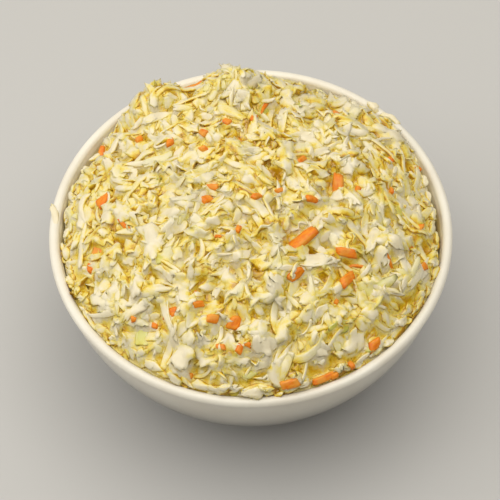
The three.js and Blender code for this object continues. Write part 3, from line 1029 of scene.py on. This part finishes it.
class Cutter:
    """Cuts pieces and lays them on the field."""

    EDGE_WAVES = (3, 7, 11, 15)  # round a piece's edge
    BEND_SPREAD = 0.6  # a piece's bends vary by this share of its form's
    SIDE_TURN = 0.3  # most that a straight side is out of its even place
    SIDE_REACH = (0.7, 1.05)
    CORNER = 1.4  # most that a corner reaches
    PULLS = 8  # tries to bring a piece within its limit
    SLACK = 0.2  # how near a snug piece comes to it, in millimetres
    EASE = 0.05  # how far within it a piece is brought
    SOFTENING = 3  # times that what it lies on is smoothed
    RIM_UNDER = 0.3  # how much a piece's edge counts as its underside, in the painted shade

    def __init__(self, dome: Dome, ground: Field, rng: np.random.Generator, ceiling: float) -> None:
        """Takes the dome, the field, the source of chance and the height that no piece passes."""
        self.dome = dome
        self.ground = ground
        self.rng = rng
        self.ceiling = ceiling

    def _cut(self, form: Form, place: Place) -> tuple[Array, Array, Array, Array]:
        """Cuts a piece and bends it by itself.

        Returns:
            Along, across, height and thickness, each on the form's grid.
        """
        rng = self.rng
        length = place.length or rng.uniform(*form.length)
        width = place.width or rng.uniform(*form.width)
        thick = rng.uniform(*form.thick)
        rows, columns = form.grid
        u, v = np.broadcast_arrays(spaced(rows)[:, None], spaced(columns)[None, :])
        m = np.maximum(np.abs(u), np.abs(v))
        angle = np.arctan2(v, u)
        if form.sides:
            reach = self._cut_sides(form.sides, angle) * m
            along = reach * np.cos(angle)
            across = reach * np.sin(angle)
        else:
            along = u
            across = v
        end = np.sign(u) * np.abs(u) ** 5
        taper = rng.uniform(*form.taper, 2)
        narrow = 1 - np.where(u > 0, taper[0], taper[1]) * np.abs(u) ** 2.5
        wedge = 1 + form.wedge * rng.uniform(-1, 1) * u
        jag = sum(rng.uniform(0.2, 0.6) * np.sin(n * angle + rng.uniform(0, TURN)) for n in self.EDGE_WAVES)
        grow = 1 + form.ragged * jag * m**3
        along = length / 2 * along * grow - form.ends * width / 2 * v**2 * end
        across = width / 2 * across * narrow * wedge * grow
        along = along + across * rng.uniform(-form.skew, form.skew)
        profile = 1 - m**form.blunt
        thickness = thick * profile * (1 + form.lumps * ripples(rng, along, across, 2.5))
        if rng.random() < form.rib:
            offset = rng.uniform(-0.5, 0.5) * width / 2
            thickness = thickness + thick * 1.5 * np.exp(-(((across - offset) / 0.9) ** 2)) * profile
        bend = self._turn(form.bend, length)
        arch = self._turn(form.arch, length)
        curl = self._turn(form.curl, width)
        across, height = rolled(across, 0.0, curl)
        if rng.random() < form.crease:
            heading = rng.uniform(-0.6, 0.6)
            off = across * math.cos(heading) + along * math.sin(heading) - rng.uniform(-0.3, 0.3) * width
            height = height + rng.choice((-1, 1)) * math.tan(rng.uniform(0.2, 0.75)) * np.sqrt(off**2 + 0.2)
        height = height + form.ruffle * m**2 * ripples(rng, along, across, 3.8) * 1.6
        folds = np.sin(rng.integers(3, 7) * angle + rng.uniform(0, TURN))
        height = height + form.pleats * rng.uniform(0.3, 1) * width / 8 * m**1.5 * folds
        height = height + form.lumps * width * 0.2 * ripples(rng, along, across, 3.5)
        twist = self._turn(form.twist, length) * along
        sine = np.sin(twist)
        cosine = np.cos(twist)
        across, height = across * cosine - height * sine, across * sine + height * cosine
        along, across = rolled(along, across, bend)
        along, height = rolled(along, height, arch)
        return along, across, height, thickness

    def _turn(self, degrees: float, size: float) -> float:
        """Chooses one piece's turn, in radians for each millimetre, from the degrees of its kind."""
        return math.radians(degrees) * self.rng.normal() * self.BEND_SPREAD / size

    def _cut_sides(self, count: int, angle: Array) -> Array:
        """How far a piece with straight cut sides reaches at each angle, around 1."""
        facing = (np.arange(count) + self.rng.uniform(-self.SIDE_TURN, self.SIDE_TURN, count)) * TURN / count
        far = self.rng.uniform(*self.SIDE_REACH, count)
        nearest = np.max([np.cos(angle - turn) / off for turn, off in zip(facing, far)], axis=0)
        return np.minimum(1 / np.maximum(nearest, 0.1), self.CORNER)

    def lay(self, form: Form, place: Place) -> Piece:
        """Cuts a piece and lays it down, on what is there.

        Args:
            form: how it is cut.
            place: where it goes.

        Returns:
            The piece, with the field raised to it.
        """
        rng = self.rng
        along, across, own, thickness = self._cut(form, place)
        axes = self.dome.frame(place.x, place.y, place.heading)
        tilt = np.radians(form.tilt) * rng.normal(size=2)
        axes = self._tilted(axes, *tilt)
        offset = along[..., None] * axes[0] + across[..., None] * axes[1] + own[..., None] * axes[2]
        flat = self._kept_in(offset[..., :2], place)
        ground = self.ground.at(flat[..., 0], flat[..., 1])
        gap = smoothed(ground - offset[..., 2], self.SOFTENING)
        height = offset[..., 2] + form.drape * (gap - gap.mean())
        under = height - thickness / 2 * axes[2][2]
        height = height + np.quantile(ground - under, form.sink)
        tip = height + thickness / 2
        over = tip - self.ground.at(flat[..., 0], flat[..., 1], self.ground.target)
        height = height - max(0.0, float(tip.max()) - self.ceiling, float(over.max()) - self.dome.proud)
        spine = np.dstack([flat, height])
        normal = np.cross(np.gradient(spine, axis=0), np.gradient(spine, axis=1))
        normal /= np.linalg.norm(normal, axis=-1, keepdims=True) + TINY
        half = normal * thickness[..., None] / 2
        top = spine + half
        self.ground.cover(top)
        points = closed(top, spine - half)
        rim = np.ones(form.grid)
        rim[1:-1, 1:-1] = 0.0
        under = np.concatenate([rim.ravel() * self.RIM_UNDER, np.ones(len(points) - rim.size)])
        flatness = np.dstack([along, across, np.full_like(along, rng.uniform(0, 900))])
        cut = closed(flatness, flatness)
        tone = rng.uniform(*form.tone) if place.tone is None else place.tone
        green = rng.uniform(*form.green) if place.green is None else place.green
        return Piece(points, under, cut, piece_faces(*form.grid), tone, green, top)

    def _kept_in(self, outline: Array, place: Place) -> Array:
        """Puts a piece at its place, pulled in from the wall as far as it has to be.

        Args:
            outline: where its points lie from its middle, seen from above.
            place: where it goes.

        Returns:
            Where its points lie in the bowl, seen from above.
        """
        middle = np.array([place.x, place.y])
        for _ in range(self.PULLS):
            flat = outline + middle
            radius = np.hypot(flat[..., 0], flat[..., 1])
            reach = self.dome.reach(np.arctan2(flat[..., 1], flat[..., 0]))
            limit = np.maximum(reach, np.minimum(reach + place.stray, self.dome.bowl.mouth))
            excess = radius - (place.reach or limit)
            if excess.max() <= 0 and not (place.snug and excess.max() < -self.SLACK):
                break
            worst = np.unravel_index(excess.argmax(), radius.shape)
            middle = middle - flat[worst] / radius[worst] * (excess.max() + self.EASE)
        return outline + middle

    @staticmethod
    def _tilted(axes: Array, pitch: float, roll: float) -> Array:
        """Axes turned about the second by pitch and then about the first by roll."""
        turned = list(axes)
        for side, angle in ((0, pitch), (1, roll)):
            cosine = math.cos(angle)
            sine = math.sin(angle)
            level, out = turned[side], turned[2]
            turned[side] = level * cosine + out * sine
            turned[2] = out * cosine - level * sine
        return np.array(turned)


@dataclass(frozen=True)
class Seen:
    """A piece that shows in the photo, by the pixels of its two ends and its width in millimetres."""

    what: str
    kind: Kind
    start: tuple[float, float]
    end: tuple[float, float]
    width: float
    tone: float = 0.1
    green: float = 0.1
    overhang: float | None = None  # how far from the axis it may reach


CABBAGE_SEEN: tuple[Seen, ...] = (
    Seen("large pale fan", Kind.LEAF, (142, 298), (194, 290), 15.0, 0.0, 0.0),
    Seen("folded chunk over the fan", Kind.LEAF, (150, 228), (152, 270), 9.0, 0.0, 0.0),
    Seen("long shred at the left", Kind.SHRED, (84, 194), (79, 232), 2.4, 0.0),
    Seen("its lower half", Kind.SHRED, (80, 230), (84, 268), 2.0, 0.1),
    Seen("veined leaf at the left", Kind.GREEN, (104, 292), (122, 324), 6.5, 0.5, 0.55),
    Seen("folded leaf at the right", Kind.GREEN, (352, 312), (396, 264), 10.5, 0.4, 0.6),
    Seen("its rib", Kind.SHRED, (348, 292), (372, 263), 2.2, 0.0),
    Seen("olive leaf", Kind.GREEN, (320, 327), (361, 326), 6.0, 0.8, 0.95),
    Seen("cupped leaf", Kind.GREEN, (284, 330), (304, 328), 6.5, 0.5, 0.55),
    Seen("white chunk by the carrots", Kind.CHUNK, (337, 281), (338, 297), 4.2, 0.0, 0.0),
    Seen("thin arc", Kind.STRAND, (296, 272), (344, 269), 1.0, 0.0),
    Seen("curved loop", Kind.SHRED, (290, 162), (322, 203), 2.8, 0.0),
    Seen("wet chunk", Kind.CHUNK, (206, 214), (221, 228), 5.0, 0.0, 0.0),
    Seen("flat leaf at the right", Kind.LEAF, (356, 180), (396, 180), 11.0, 0.35),
    Seen("large leaf in front", Kind.LEAF, (248, 344), (285, 338), 12.0, 0.0, 0.0),
    Seen("long rib", Kind.SHRED, (362, 300), (402, 282), 3.2, 0.0),
    Seen("the rib's end", Kind.SHRED, (402, 282), (440, 264), 2.8, 0.0),
    Seen("over the left rim", Kind.SHRED, (53, 208), (56, 236), 2.4, 0.1, 0.1, 65.6),
    Seen("over the back right rim", Kind.CHUNK, (368, 104), (384, 110), 4.0, 0.1, 0.1, 65.0),
    Seen("its point", Kind.SHRED, (382, 113), (404, 124), 2.6, 0.3, 0.2, 65.4),
    Seen("flake at the left wall", Kind.LEAF, (98, 150), (118, 140), 6.5, 0.0, 0.0),
    Seen("notched flake", Kind.LEAF, (82, 176), (106, 168), 7.5, 0.2, 0.3),
    Seen("curved shred at the back", Kind.SHRED, (303, 130), (336, 162), 3.0, 0.0),
    Seen("straight shred at the back", Kind.SHRED, (324, 143), (344, 129), 2.4, 0.0),
    Seen("wide shred", Kind.SHRED, (346, 130), (372, 137), 3.0, 0.0),
    Seen("slanting shred", Kind.SHRED, (350, 156), (386, 132), 2.2, 0.0),
    Seen("narrow upright shred", Kind.SHRED, (343, 134), (346, 158), 1.8, 0.0),
    Seen("pointed flake", Kind.LEAF, (342, 158), (356, 176), 6.0, 0.0),
    Seen("shred at the left", Kind.SHRED, (142, 124), (176, 108), 3.4, 0.1),
    Seen("shred down the left", Kind.SHRED, (132, 150), (136, 190), 2.8, 0.1),
    Seen("pale piece at the left", Kind.LEAF, (150, 132), (166, 152), 6.0, 0.2),
    Seen("on the front lip", Kind.CHUNK, (241, 397), (268, 400), 3.6, 0.2, 0.1, 64.0),
)

CARROTS_SEEN: tuple[Seen, ...] = (
    Seen("big stick", Kind.CARROT, (284, 245), (318, 229), 4.2, 0.3),
    Seen("upright stick", Kind.CARROT, (308, 180), (309, 210), 4.4, 0.2),
    Seen("half covered stick", Kind.CARROT, (344, 178), (332, 212), 4.2, 0.7),
    Seen("flake over it", Kind.CHUNK, (331, 192), (344, 200), 4.6, 0.0, 0.0),
    Seen("right of the middle", Kind.CARROT, (336, 247), (357, 257), 3.2, 0.5),
    Seen("thin line", Kind.CARROT_SHRED, (348, 261), (365, 267), 1.2),
    Seen("below the middle", Kind.CARROT, (236, 312), (232, 332), 4.0, 0.3),
    Seen("its neighbour", Kind.CARROT, (206, 318), (219, 320), 3.2, 0.7),
    Seen("small, left of them", Kind.CARROT, (192, 303), (204, 304), 2.2, 0.4),
    Seen("curved at the left", Kind.CARROT, (97, 206), (110, 191), 4.6, 0.3),
    Seen("block at the back", Kind.CARROT, (188, 96), (199, 84), 4.6, 0.7),
    Seen("back bit", Kind.CARROT, (222, 122), (231, 125), 3.0, 0.5),
    Seen("back stick", Kind.CARROT, (250, 122), (257, 116), 2.4, 0.6),
    Seen("line from it", Kind.CARROT_SHRED, (256, 115), (271, 104), 1.2),
    Seen("back left chip", Kind.CARROT, (198, 133), (209, 133), 2.4, 0.8),
    Seen("chip under it", Kind.CARROT, (199, 150), (207, 148), 2.2, 0.8),
    Seen("left chip", Kind.CARROT, (166, 144), (174, 141), 2.6, 0.5),
    Seen("short line", Kind.CARROT_SHRED, (236, 142), (243, 133), 1.2),
    Seen("middle left chip", Kind.CARROT, (205, 185), (219, 184), 2.0, 0.8),
    Seen("chip in front of it", Kind.CARROT, (201, 201), (212, 196), 2.6, 0.6),
    Seen("middle chip", Kind.CARROT, (250, 197), (264, 194), 2.4, 0.5),
    Seen("dot", Kind.CARROT, (236, 233), (241, 225), 2.0, 0.2),
    Seen("line beside it", Kind.CARROT_SHRED, (205, 233), (225, 232), 1.3),
    Seen("small chip", Kind.CARROT, (275, 190), (283, 189), 1.8, 0.5),
    Seen("chip over the upright stick", Kind.CARROT, (295, 161), (307, 160), 2.2, 0.6),
    Seen("hook", Kind.CARROT_SHRED, (119, 219), (129, 234), 1.5),
    Seen("left edge chip", Kind.CARROT, (87, 264), (95, 267), 1.8, 0.4),
    Seen("by the left wall", Kind.CARROT, (98, 149), (94, 162), 2.0, 0.4),
    Seen("left chip above", Kind.CARROT, (136, 141), (142, 137), 2.2, 0.7),
    Seen("slanting stick", Kind.CARROT, (289, 281), (302, 266), 3.4, 0.4),
    Seen("stick by the folded leaf", Kind.CARROT, (339, 286), (356, 274), 3.4, 0.4),
    Seen("dot under it", Kind.CARROT, (334, 300), (338, 304), 1.6, 0.3),
    Seen("curved shred", Kind.CARROT_SHRED, (384, 251), (393, 267), 1.4),
    Seen("right edge chip", Kind.CARROT, (419, 266), (427, 267), 2.6, 0.3),
    Seen("right edge dot", Kind.CARROT, (419, 226), (423, 227), 2.0, 0.5),
    Seen("right dot", Kind.CARROT, (389, 190), (393, 193), 1.8, 0.7),
    Seen("right dot above", Kind.CARROT, (355, 190), (360, 191), 1.6, 0.3),
    Seen("by the right wall", Kind.CARROT, (424, 171), (430, 173), 1.8, 0.1),
    Seen("front right stick", Kind.CARROT, (369, 350), (380, 342), 3.4, 0.5),
    Seen("front right shred", Kind.CARROT, (348, 358), (354, 373), 2.0, 0.4),
    Seen("front chip", Kind.CARROT, (331, 380), (340, 378), 2.0, 0.6),
    Seen("front stick", Kind.CARROT, (281, 394), (299, 383), 3.2, 0.8),
    Seen("front line", Kind.CARROT, (312, 386), (338, 380), 2.4, 0.6),
    Seen("front left chip", Kind.CARROT, (216, 346), (226, 345), 2.0, 0.7),
    Seen("front middle stick", Kind.CARROT, (241, 344), (238, 355), 2.4, 0.4),
    Seen("front middle chip", Kind.CARROT, (244, 343), (252, 345), 1.8, 0.4),
    Seen("left front dot", Kind.CARROT, (189, 373), (193, 375), 1.8, 0.5),
    Seen("deep chip", Kind.CARROT, (152, 324), (158, 325), 1.8, 0.1),
    Seen("left front chip", Kind.CARROT, (132, 319), (136, 320), 1.8, 0.3),
)


def clots(x: Array, y: Array) -> Array:
    """Soft lumps of one to a few millimetres in the dressing, around 0."""
    coarse = np.sin(x * 1.1 + np.sin(y * 0.7)) * np.sin(y * 0.9 + 1.3 * np.sin(x * 0.5))
    return coarse + 0.5 * np.sin(x * 2.3 + 1.7 * np.sin(y * 1.9)) * np.sin(y * 2.6 + np.sin(x * 1.4))


def ringed_faces(rings: int, sides: int) -> list[list[int]]:
    """Faces of a closed body that is made of rings, with a middle point above the first and below the last.

    Args:
        rings: how many.
        sides: points of each ring.

    Returns:
        Corner numbers, the two middle points being the last two.
    """
    ring = np.arange(sides)
    after = np.roll(ring, -1)
    start = sides * np.arange(rings - 1)[:, None]
    quads = np.stack([start + ring, start + sides + ring, start + sides + after, start + after], -1)
    middle = np.full(sides, sides * rings)
    end = sides * (rings - 1)
    lids = [np.column_stack([middle, ring, after]), np.column_stack([middle + 1, end + after, end + ring])]
    return quads.reshape(-1, 4).tolist() + np.concatenate(lids).tolist()


@dataclass
class Heap:
    """The coleslaw: a bare core under many laid pieces."""

    dome: Dome
    view: "PhotoView"
    ceiling: float
    core_depth: float = 3.8
    core_sunk: float = 0.5
    core_clots: float = 0.35  # how uneven that is
    core_pale_and_painted_light: Span = (0.2, 0.45)  # how much paler than pieces at its height, in the middle and at the wall, where the extra is painted light against the shade by the wall
    core_belt: float = 3.0  # along the wall, where it gets paler with painted light
    core_grip: float = 0.15  # how far it goes into the wall
    core_past: float = 0.4  # and how far past the pieces
    core_lip: float = 0.1  # how far over the heap's edge its own may stand
    core_levels: Shares = (50.0, 40.0, 28.0, 16.0)  # heights of its rings down the wall
    core_base: float = 1.5  # height of its underside over the bowl's floor
    core_rings: int = 124
    core_sides: int = 720
    painted_underside_shade: float = 0.35  # painted shade: how much deeper and darker in tone the pieces are underneath
    painted_sideways_shade: float = 0.45  # and painted shade where they face sideways
    front: float = 0.1  # and how much paler all of them are, so that with the painted shade those that face out are palest
    relief: tuple[Span, Span] = ((2.4, 2.0), (0.9, 0.8))  # widths of the means, and depths that count as much
    relief_middle: float = 0.6
    relief_share: float = 0.31
    shown_depth: float = 1.2  # pieces that lie deeper are left out
    widest: float = 61.0  # how far from the axis places are chosen
    step: float = 1.5  # over which a place's height is averaged
    wall_belt: float = 3.5  # where pieces lie along the wall
    wall_places: Span = (0.2, 2.6)  # from the heap's edge
    wall_turn: float = 0.3
    wall_length: Span = (3, 8)
    wall_width: Span = (1.5, 3.6)
    wall_stray: Span = (-0.4, 1.2)
    wall_snug: float = 0.7  # share of them that lie at their limit
    seed: int = 11
    fill: dict[Kind, int] = field(default_factory=lambda: {
        Kind.SHRED: 340, Kind.LEAF: 120, Kind.CHUNK: 110, Kind.BIT: 160, Kind.GREEN: 50,
        Kind.CARROT: 14, Kind.CARROT_SHRED: 10,
    })
    belt: dict[Kind, int] = field(default_factory=lambda: {
        Kind.SHRED: 90, Kind.LEAF: 40, Kind.CHUNK: 60, Kind.BIT: 100,
    })
    finishing: dict[Kind, int] = field(default_factory=lambda: {
        Kind.STRAND: 90, Kind.BIT: 50, Kind.SHRED: 350, Kind.LEAF: 240, Kind.CHUNK: 70, Kind.GREEN: 38,
    })
    crumbs: dict[Kind, int] = field(default_factory=lambda: {Kind.STRAND: 30, Kind.BIT: 40})
    pieces: dict[Kind, list[Piece]] = field(default_factory=lambda: {kind: [] for kind in Kind})

    def __post_init__(self) -> None:
        """Sets up the field and the cutter."""
        self.rng = np.random.default_rng(self.seed)
        self.ground = Field(self.dome, self.core_depth)
        self.cutter = Cutter(self.dome, self.ground, self.rng, self.ceiling)

    def lay_all(self) -> None:
        """Fills the dome, lays what the photo shows at its place, and strews the fine pieces over it."""
        self._strew(self.fill)
        self._strew(self.belt, self._by_wall)
        self._strew(self.finishing, functools.partial(self._lowest, 4))
        for seen in CABBAGE_SEEN + CARROTS_SEEN:
            self._lay_seen(seen)
        self._strew(self.crumbs)

    def _strew(self, counts: dict[Kind, int], choose: Callable[[], Span] | None = None) -> None:
        """Lays pieces in a mixed order.

        Args:
            counts: how many of each kind.
            choose: picks each place, the lowest of a few under the dome if left out.
        """
        order = [kind for kind, count in counts.items() for _ in range(count)]
        self.rng.shuffle(order)
        for kind in order:
            x, y = (choose or self._lowest)()
            around = math.atan2(y, x)
            place = Place(x, y, self.rng.uniform(0, TURN))
            if math.hypot(x, y) > self.dome.reach(around) - self.wall_belt:
                along = around + math.pi / 2 + self.rng.normal() * self.wall_turn
                length = self.rng.uniform(*self.wall_length)
                width = self.rng.uniform(*self.wall_width)
                stray = self.rng.uniform(*self.wall_stray)
                snug = self.rng.random() < self.wall_snug
                place = Place(x, y, along, length, width, stray=stray, snug=snug)
            self.pieces[kind].append(self.cutter.lay(FORMS[kind], place))

    def _by_wall(self, tries: int = 5) -> Span:
        """The place, of a few near the wall, that lies furthest under the dome."""
        angle = self.rng.uniform(0, TURN, tries)
        return self._furthest(self.dome.reach(angle) - self.rng.uniform(*self.wall_places, tries), angle)

    def _lay_seen(self, seen: Seen) -> None:
        """Lays a piece so that it shows where the photo has it."""
        log.debug("laying %s", seen.what)
        start = self.view.spot(seen.start, self.dome)
        end = self.view.spot(seen.end, self.dome)
        middle = (start + end) / 2
        along = end - start
        place = Place(float(middle[0]), float(middle[1]), math.atan2(along[1], along[0]),
                      float(np.hypot(*along)), seen.width, seen.tone, seen.green, seen.overhang)
        self.pieces[seen.kind].append(self.cutter.lay(FORMS[seen.kind], place))

    def _lowest(self, tries: int = 6) -> Span:
        """The place, of a few chosen by chance, that lies furthest under the dome."""
        radius = self.widest * np.sqrt(self.rng.uniform(0, 1, tries))
        angle = self.rng.uniform(0, TURN, tries)
        return self._furthest(np.minimum(radius, self.dome.reach(angle) - 0.5), angle)

    def _furthest(self, radius: Array, angle: Array) -> Span:
        """The place, of several by radius and angle, that lies furthest under the dome."""
        x = radius * np.cos(angle)
        y = radius * np.sin(angle)
        steps = np.array([-self.step, 0.0, self.step])
        gx, gy = np.broadcast_arrays(x[:, None, None] + steps[:, None], y[:, None, None] + steps)
        lack = self.ground.at(gx, gy, self.ground.target) - self.ground.at(gx, gy)
        best = int(lack.mean((1, 2)).argmax())
        return float(x[best]), float(y[best])

    def build(self, finishes: dict[Kind, bpy.types.Material]) -> list[bpy.types.Object]:
        """Joins the pieces of each kind that show into one mesh.

        Args:
            finishes: the material of each kind.

        Returns:
            One object for each kind.
        """
        lack = (self.ground.target - self.ground.heights)[self.ground.within]
        log.info("heap lies %.2f mm under its dome on average, spread %.2f", lack.mean(), lack.std())
        made = []
        for kind, pieces in self.pieces.items():
            shown = [piece for piece in pieces if self._shows(piece)]
            sizes = [len(piece.points) for piece in shown]
            starts = np.cumsum([0, *sizes[:-1]])
            points, cut, under = (np.concatenate([getattr(piece, name) for piece in shown])
                                  for name in ("points", "cut", "under"))
            faces = np.concatenate([piece.faces + start for piece, start in zip(shown, starts)])
            attributes = {name: np.repeat([getattr(piece, name) for piece in shown], sizes)
                          for name in ("tone", "green")}
            attributes["cut"] = cut * MM
            thing = flat_object(kind.value, mesh_from(kind.value, points, faces, attributes))
            facing = calm_normals(thing.data, self.ground.facing(points, self._means[0]), FORMS[kind].calm)
            # Painted shade: darker, deeper yellow on undersides, edges and faces turned away from the heap's
            # surface.
            painted_darkening = self.painted_underside_shade * under + self.painted_sideways_shade * (1 - facing)
            set_attribute(thing.data, "level", self._level(points) - painted_darkening + self.front)
            thing.data.materials.append(finishes[kind])
            counts = len(shown), len(pieces), 2 * len(faces)
            log.info("%s: %d of %d pieces show, %d triangles", kind.value, *counts)
            made.append(thing)
        return made

    @functools.cached_property
    def _means(self) -> list[Array]:
        """Mean height of the finished heap, over a wide and over a near neighbourhood."""
        return [self.ground.blurred(width) for width, _ in self.relief]

    def _level(self, points: Array) -> Array:
        """How high points lie in the heap's relief, from 0 in a hollow to 1 on a crest."""
        wide, near = (self.ground.at(points[:, 0], points[:, 1], mean) - points[:, 2] for mean in self._means)
        depth = wide / self.relief[0][1] + near / self.relief[1][1]
        return np.clip(self.relief_middle - self.relief_share * depth, 0, 1)

    def _shows(self, piece: Piece) -> bool:
        """Whether any of a piece lies near the surface of the heap."""
        top = piece.top.reshape(-1, 3)
        return bool((self.ground.at(top[:, 0], top[:, 1]) - top[:, 2] < self.shown_depth).any())

    def core(self, finish: bpy.types.Material) -> bpy.types.Object:
        """The dressing and the finest bits between the pieces, as one closed body with a clotted top.

        Args:
            finish: its material.

        Returns:
            The core's object.
        """
        bowl = self.dome.bowl
        level = self.ground.blurred(0.5)
        angle = np.linspace(0, TURN, self.core_sides, endpoint=False)
        edge = self.dome.edge(angle)
        widest = np.minimum(bowl.inside(edge) + self.core_grip, self.dome.reach(angle) + self.core_past)
        rings = []
        for share in np.linspace(0, 1, self.core_rings)[1:]:
            radius = share * widest
            x = radius * np.cos(angle)
            y = radius * np.sin(angle)
            height = self.ground.at(x, y, level) - self.core_sunk * (1 + self.core_clots * clots(x, y))
            height = np.where(share > 0.98, np.minimum(height, edge + self.core_lip), height)
            rings.append(np.column_stack([x, y, height]))
        base = bowl.floor_top + self.core_base
        dressing_and_painted_shade = [(height, bowl.inside(height) + self.core_grip) for height in self.core_levels]
        for height, radius in [*dressing_and_painted_shade, (base, bowl.floor_radius)]:
            circle = [radius * np.cos(angle), radius * np.sin(angle), np.full(len(angle), height)]
            rings.append(np.column_stack(circle))
        points = np.concatenate([*rings, [[0.0, 0.0, float(rings[0][:, 2].mean())], [0.0, 0.0, base]]])
        mesh = bpy.data.meshes.new("slaw_core")
        mesh.from_pydata((points * MM).tolist(), [], ringed_faces(len(rings), self.core_sides))
        mesh.polygons.foreach_set("use_smooth", [True] * len(mesh.polygons))
        reach = self.dome.reach(np.arctan2(points[:, 1], points[:, 0]))
        by_wall = 1 - (reach - np.hypot(points[:, 0], points[:, 1])) / self.core_belt
        # The core is set paler than the pieces; the extra along the wall is painted light against the shade
        # there.
        set_attribute(mesh, "level", self._level(points) + np.interp(by_wall, (0, 1), self.core_pale_and_painted_light))
        mesh.materials.append(finish)
        return flat_object("slaw_core", mesh)


# Studio


@dataclass(frozen=True)
class PhotoView:
    """The photograph's camera: it looks at the middle of the rim from the front, from above."""

    aim_height: float
    elevation: float = math.radians(56.36)
    distance: float = 600.0
    focal_px: float = 1859.8
    image_px: float = 500.0
    aim_px: tuple[float, float] = (250.65, 229.06)
    roll: float = math.radians(-0.985)
    sensor: float = 36.0

    @property
    def eye(self) -> Vector:
        """Where the camera is, in millimetres."""
        back = self.distance * math.cos(self.elevation)
        return Vector((0, -back, self.distance * math.sin(self.elevation) + self.aim_height))

    @property
    def turn(self) -> Matrix:
        """How the camera is turned."""
        return Matrix.Rotation(math.pi / 2 - self.elevation, 4, "X") @ Matrix.Rotation(self.roll, 4, "Z")

    def spot(self, pixel: tuple[float, float], dome: Dome) -> Array:
        """The place on the dome that shows at a pixel of the photo, found by nearing it step by step."""
        across = (pixel[0] - self.aim_px[0]) / self.focal_px
        down = (pixel[1] - self.aim_px[1]) / self.focal_px
        ray = self.turn @ Vector((across, -down, -1.0))
        height = self.aim_height + 10.0
        for _ in range(40):
            place = self.eye + ray * ((height - self.eye.z) / ray.z)
            height += 0.5 * (float(dome.height(np.array(place.x), np.array(place.y))) - height)
        return np.array([place.x, place.y])

    def camera(self) -> None:
        """Makes the camera that the scene is seen by."""
        data = bpy.data.cameras.new("photo_camera")
        data.sensor_width = self.sensor
        data.lens = self.focal_px / self.image_px * self.sensor
        data.shift_x = (self.image_px / 2 - self.aim_px[0]) / self.image_px
        data.shift_y = (self.aim_px[1] - self.image_px / 2) / self.image_px
        data.clip_start = 0.01
        thing = flat_object("photo_camera", data)
        thing.matrix_world = Matrix.Translation(self.eye * MM) @ self.turn
        bpy.context.scene.camera = thing


@dataclass(frozen=True)
class Lamp:
    """A square soft light: its place and size in metres, its power in watts and its colour."""

    name: str
    place: tuple[float, float, float]
    size: float
    power: float
    colour: tuple[float, float, float] = (1.0, 0.99, 0.97)

    def hang(self, aim: Vector) -> None:
        """Hangs the lamp and turns it to a point."""
        data = bpy.data.lights.new(self.name, "AREA")
        data.size = self.size
        data.energy = self.power
        data.color = self.colour
        thing = flat_object(self.name, data)
        thing.location = self.place
        thing.rotation_euler = (aim - Vector(self.place)).to_track_quat("-Z", "Y").to_euler()


@dataclass(frozen=True)
class Studio:
    """A pale floor under soft light from the left, from above and, weaker, from all round."""

    lamps: tuple[Lamp, ...] = (
        Lamp("key", (-1.0, 0.05, 0.7), 0.9, 3.1),
        Lamp("top", (0.05, -0.1, 1.1), 1.0, 5.7),
    )
    world: float = 0.98
    sky_colour: Colour = (1.0, 0.955, 0.86, 1.0)
    sky_middle: tuple[float, float, float] = (-0.2, 0.3, 0.93)
    sky_edge: Span = (-0.1, 0.9)
    floor_size: float = 3.0

    def build(self, aim_height: float) -> None:
        """Makes the floor, the lamps and the light all round."""
        half = self.floor_size / 2
        mesh = bpy.data.meshes.new("floor")
        corners = [(-half, -half, 0), (half, -half, 0), (half, half, 0), (-half, half, 0)]
        mesh.from_pydata(corners, [], [(0, 1, 2, 3)])
        mesh.materials.append(FloorFinish().material("pale_floor"))
        flat_object("floor", mesh)
        for lamp in self.lamps:
            lamp.hang(Vector((0, 0, aim_height * MM)))
        world = bpy.data.worlds.new("studio")
        world.use_nodes = True
        bpy.context.scene.world = world
        graph = Graph(world.node_tree)
        facing = graph.node("ShaderNodeVectorMath", {"operation": "DOT_PRODUCT"}, {
            "Vector": graph.node("ShaderNodeTexCoord").outputs["Generated"], "Vector_001": self.sky_middle})
        glow = Value(graph, facing.outputs["Value"]).between(*self.sky_edge) * self.world
        sky = graph.value("ShaderNodeBackground", {}, {"Color": self.sky_colour, "Strength": glow})
        graph.node("ShaderNodeOutputWorld", {}, {"Surface": sky})
        bpy.context.scene.view_settings.view_transform = "Standard"


def main() -> None:
    """Builds the coleslaw, its bowl and the studio, and reports each piece."""
    logging.basicConfig(level=logging.INFO, format="%(name)s: %(message)s")
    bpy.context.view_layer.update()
    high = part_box("bowl")[1]
    bowl = Bowl(rim_radius=high.x / MM, height=high.z / MM)
    aim_height = bowl.lip_centre[1]
    view = PhotoView(aim_height)
    view.camera()
    Studio().build(aim_height)
    turned = bowl.build()
    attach(turned, "root")
    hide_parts("bowl")
    log.info("bowl_turned: %d faces", len(turned.data.polygons))
    heap = Heap(Dome(bowl), view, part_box("coleslaw")[1].z / MM + HEADROOM)
    heap.lay_all()
    cabbage = CabbageFinish()
    finishes = {
        Kind.SHRED: cabbage.material("shredded_cabbage"),
        Kind.STRAND: replace(cabbage, vein_share=0.2).material("cabbage_strand"),
        Kind.LEAF: replace(cabbage, vein_share=0.5).material("cabbage_leaf"),
        Kind.CHUNK: replace(cabbage, tone_share=0.4, vein_share=0.25).material("cabbage_rib"),
        Kind.BIT: replace(cabbage, vein_share=0.2).material("cabbage_crumb"),
        Kind.GREEN: cabbage.material("green_leaf"),
        Kind.CARROT: CarrotFinish().material("carrot_flesh"),
        Kind.CARROT_SHRED: replace(CarrotFinish(), dressed=screen(236, 156, 72)).material("carrot_shred"),
    }
    pieces = heap.build(finishes)
    pieces.append(heap.core(replace(cabbage, vein_share=0.0, bump_depth=0.7).material("dressed_core")))
    for piece in pieces:
        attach(piece, "root")
        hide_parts("coleslaw")


if __name__ == "__main__":
    main()
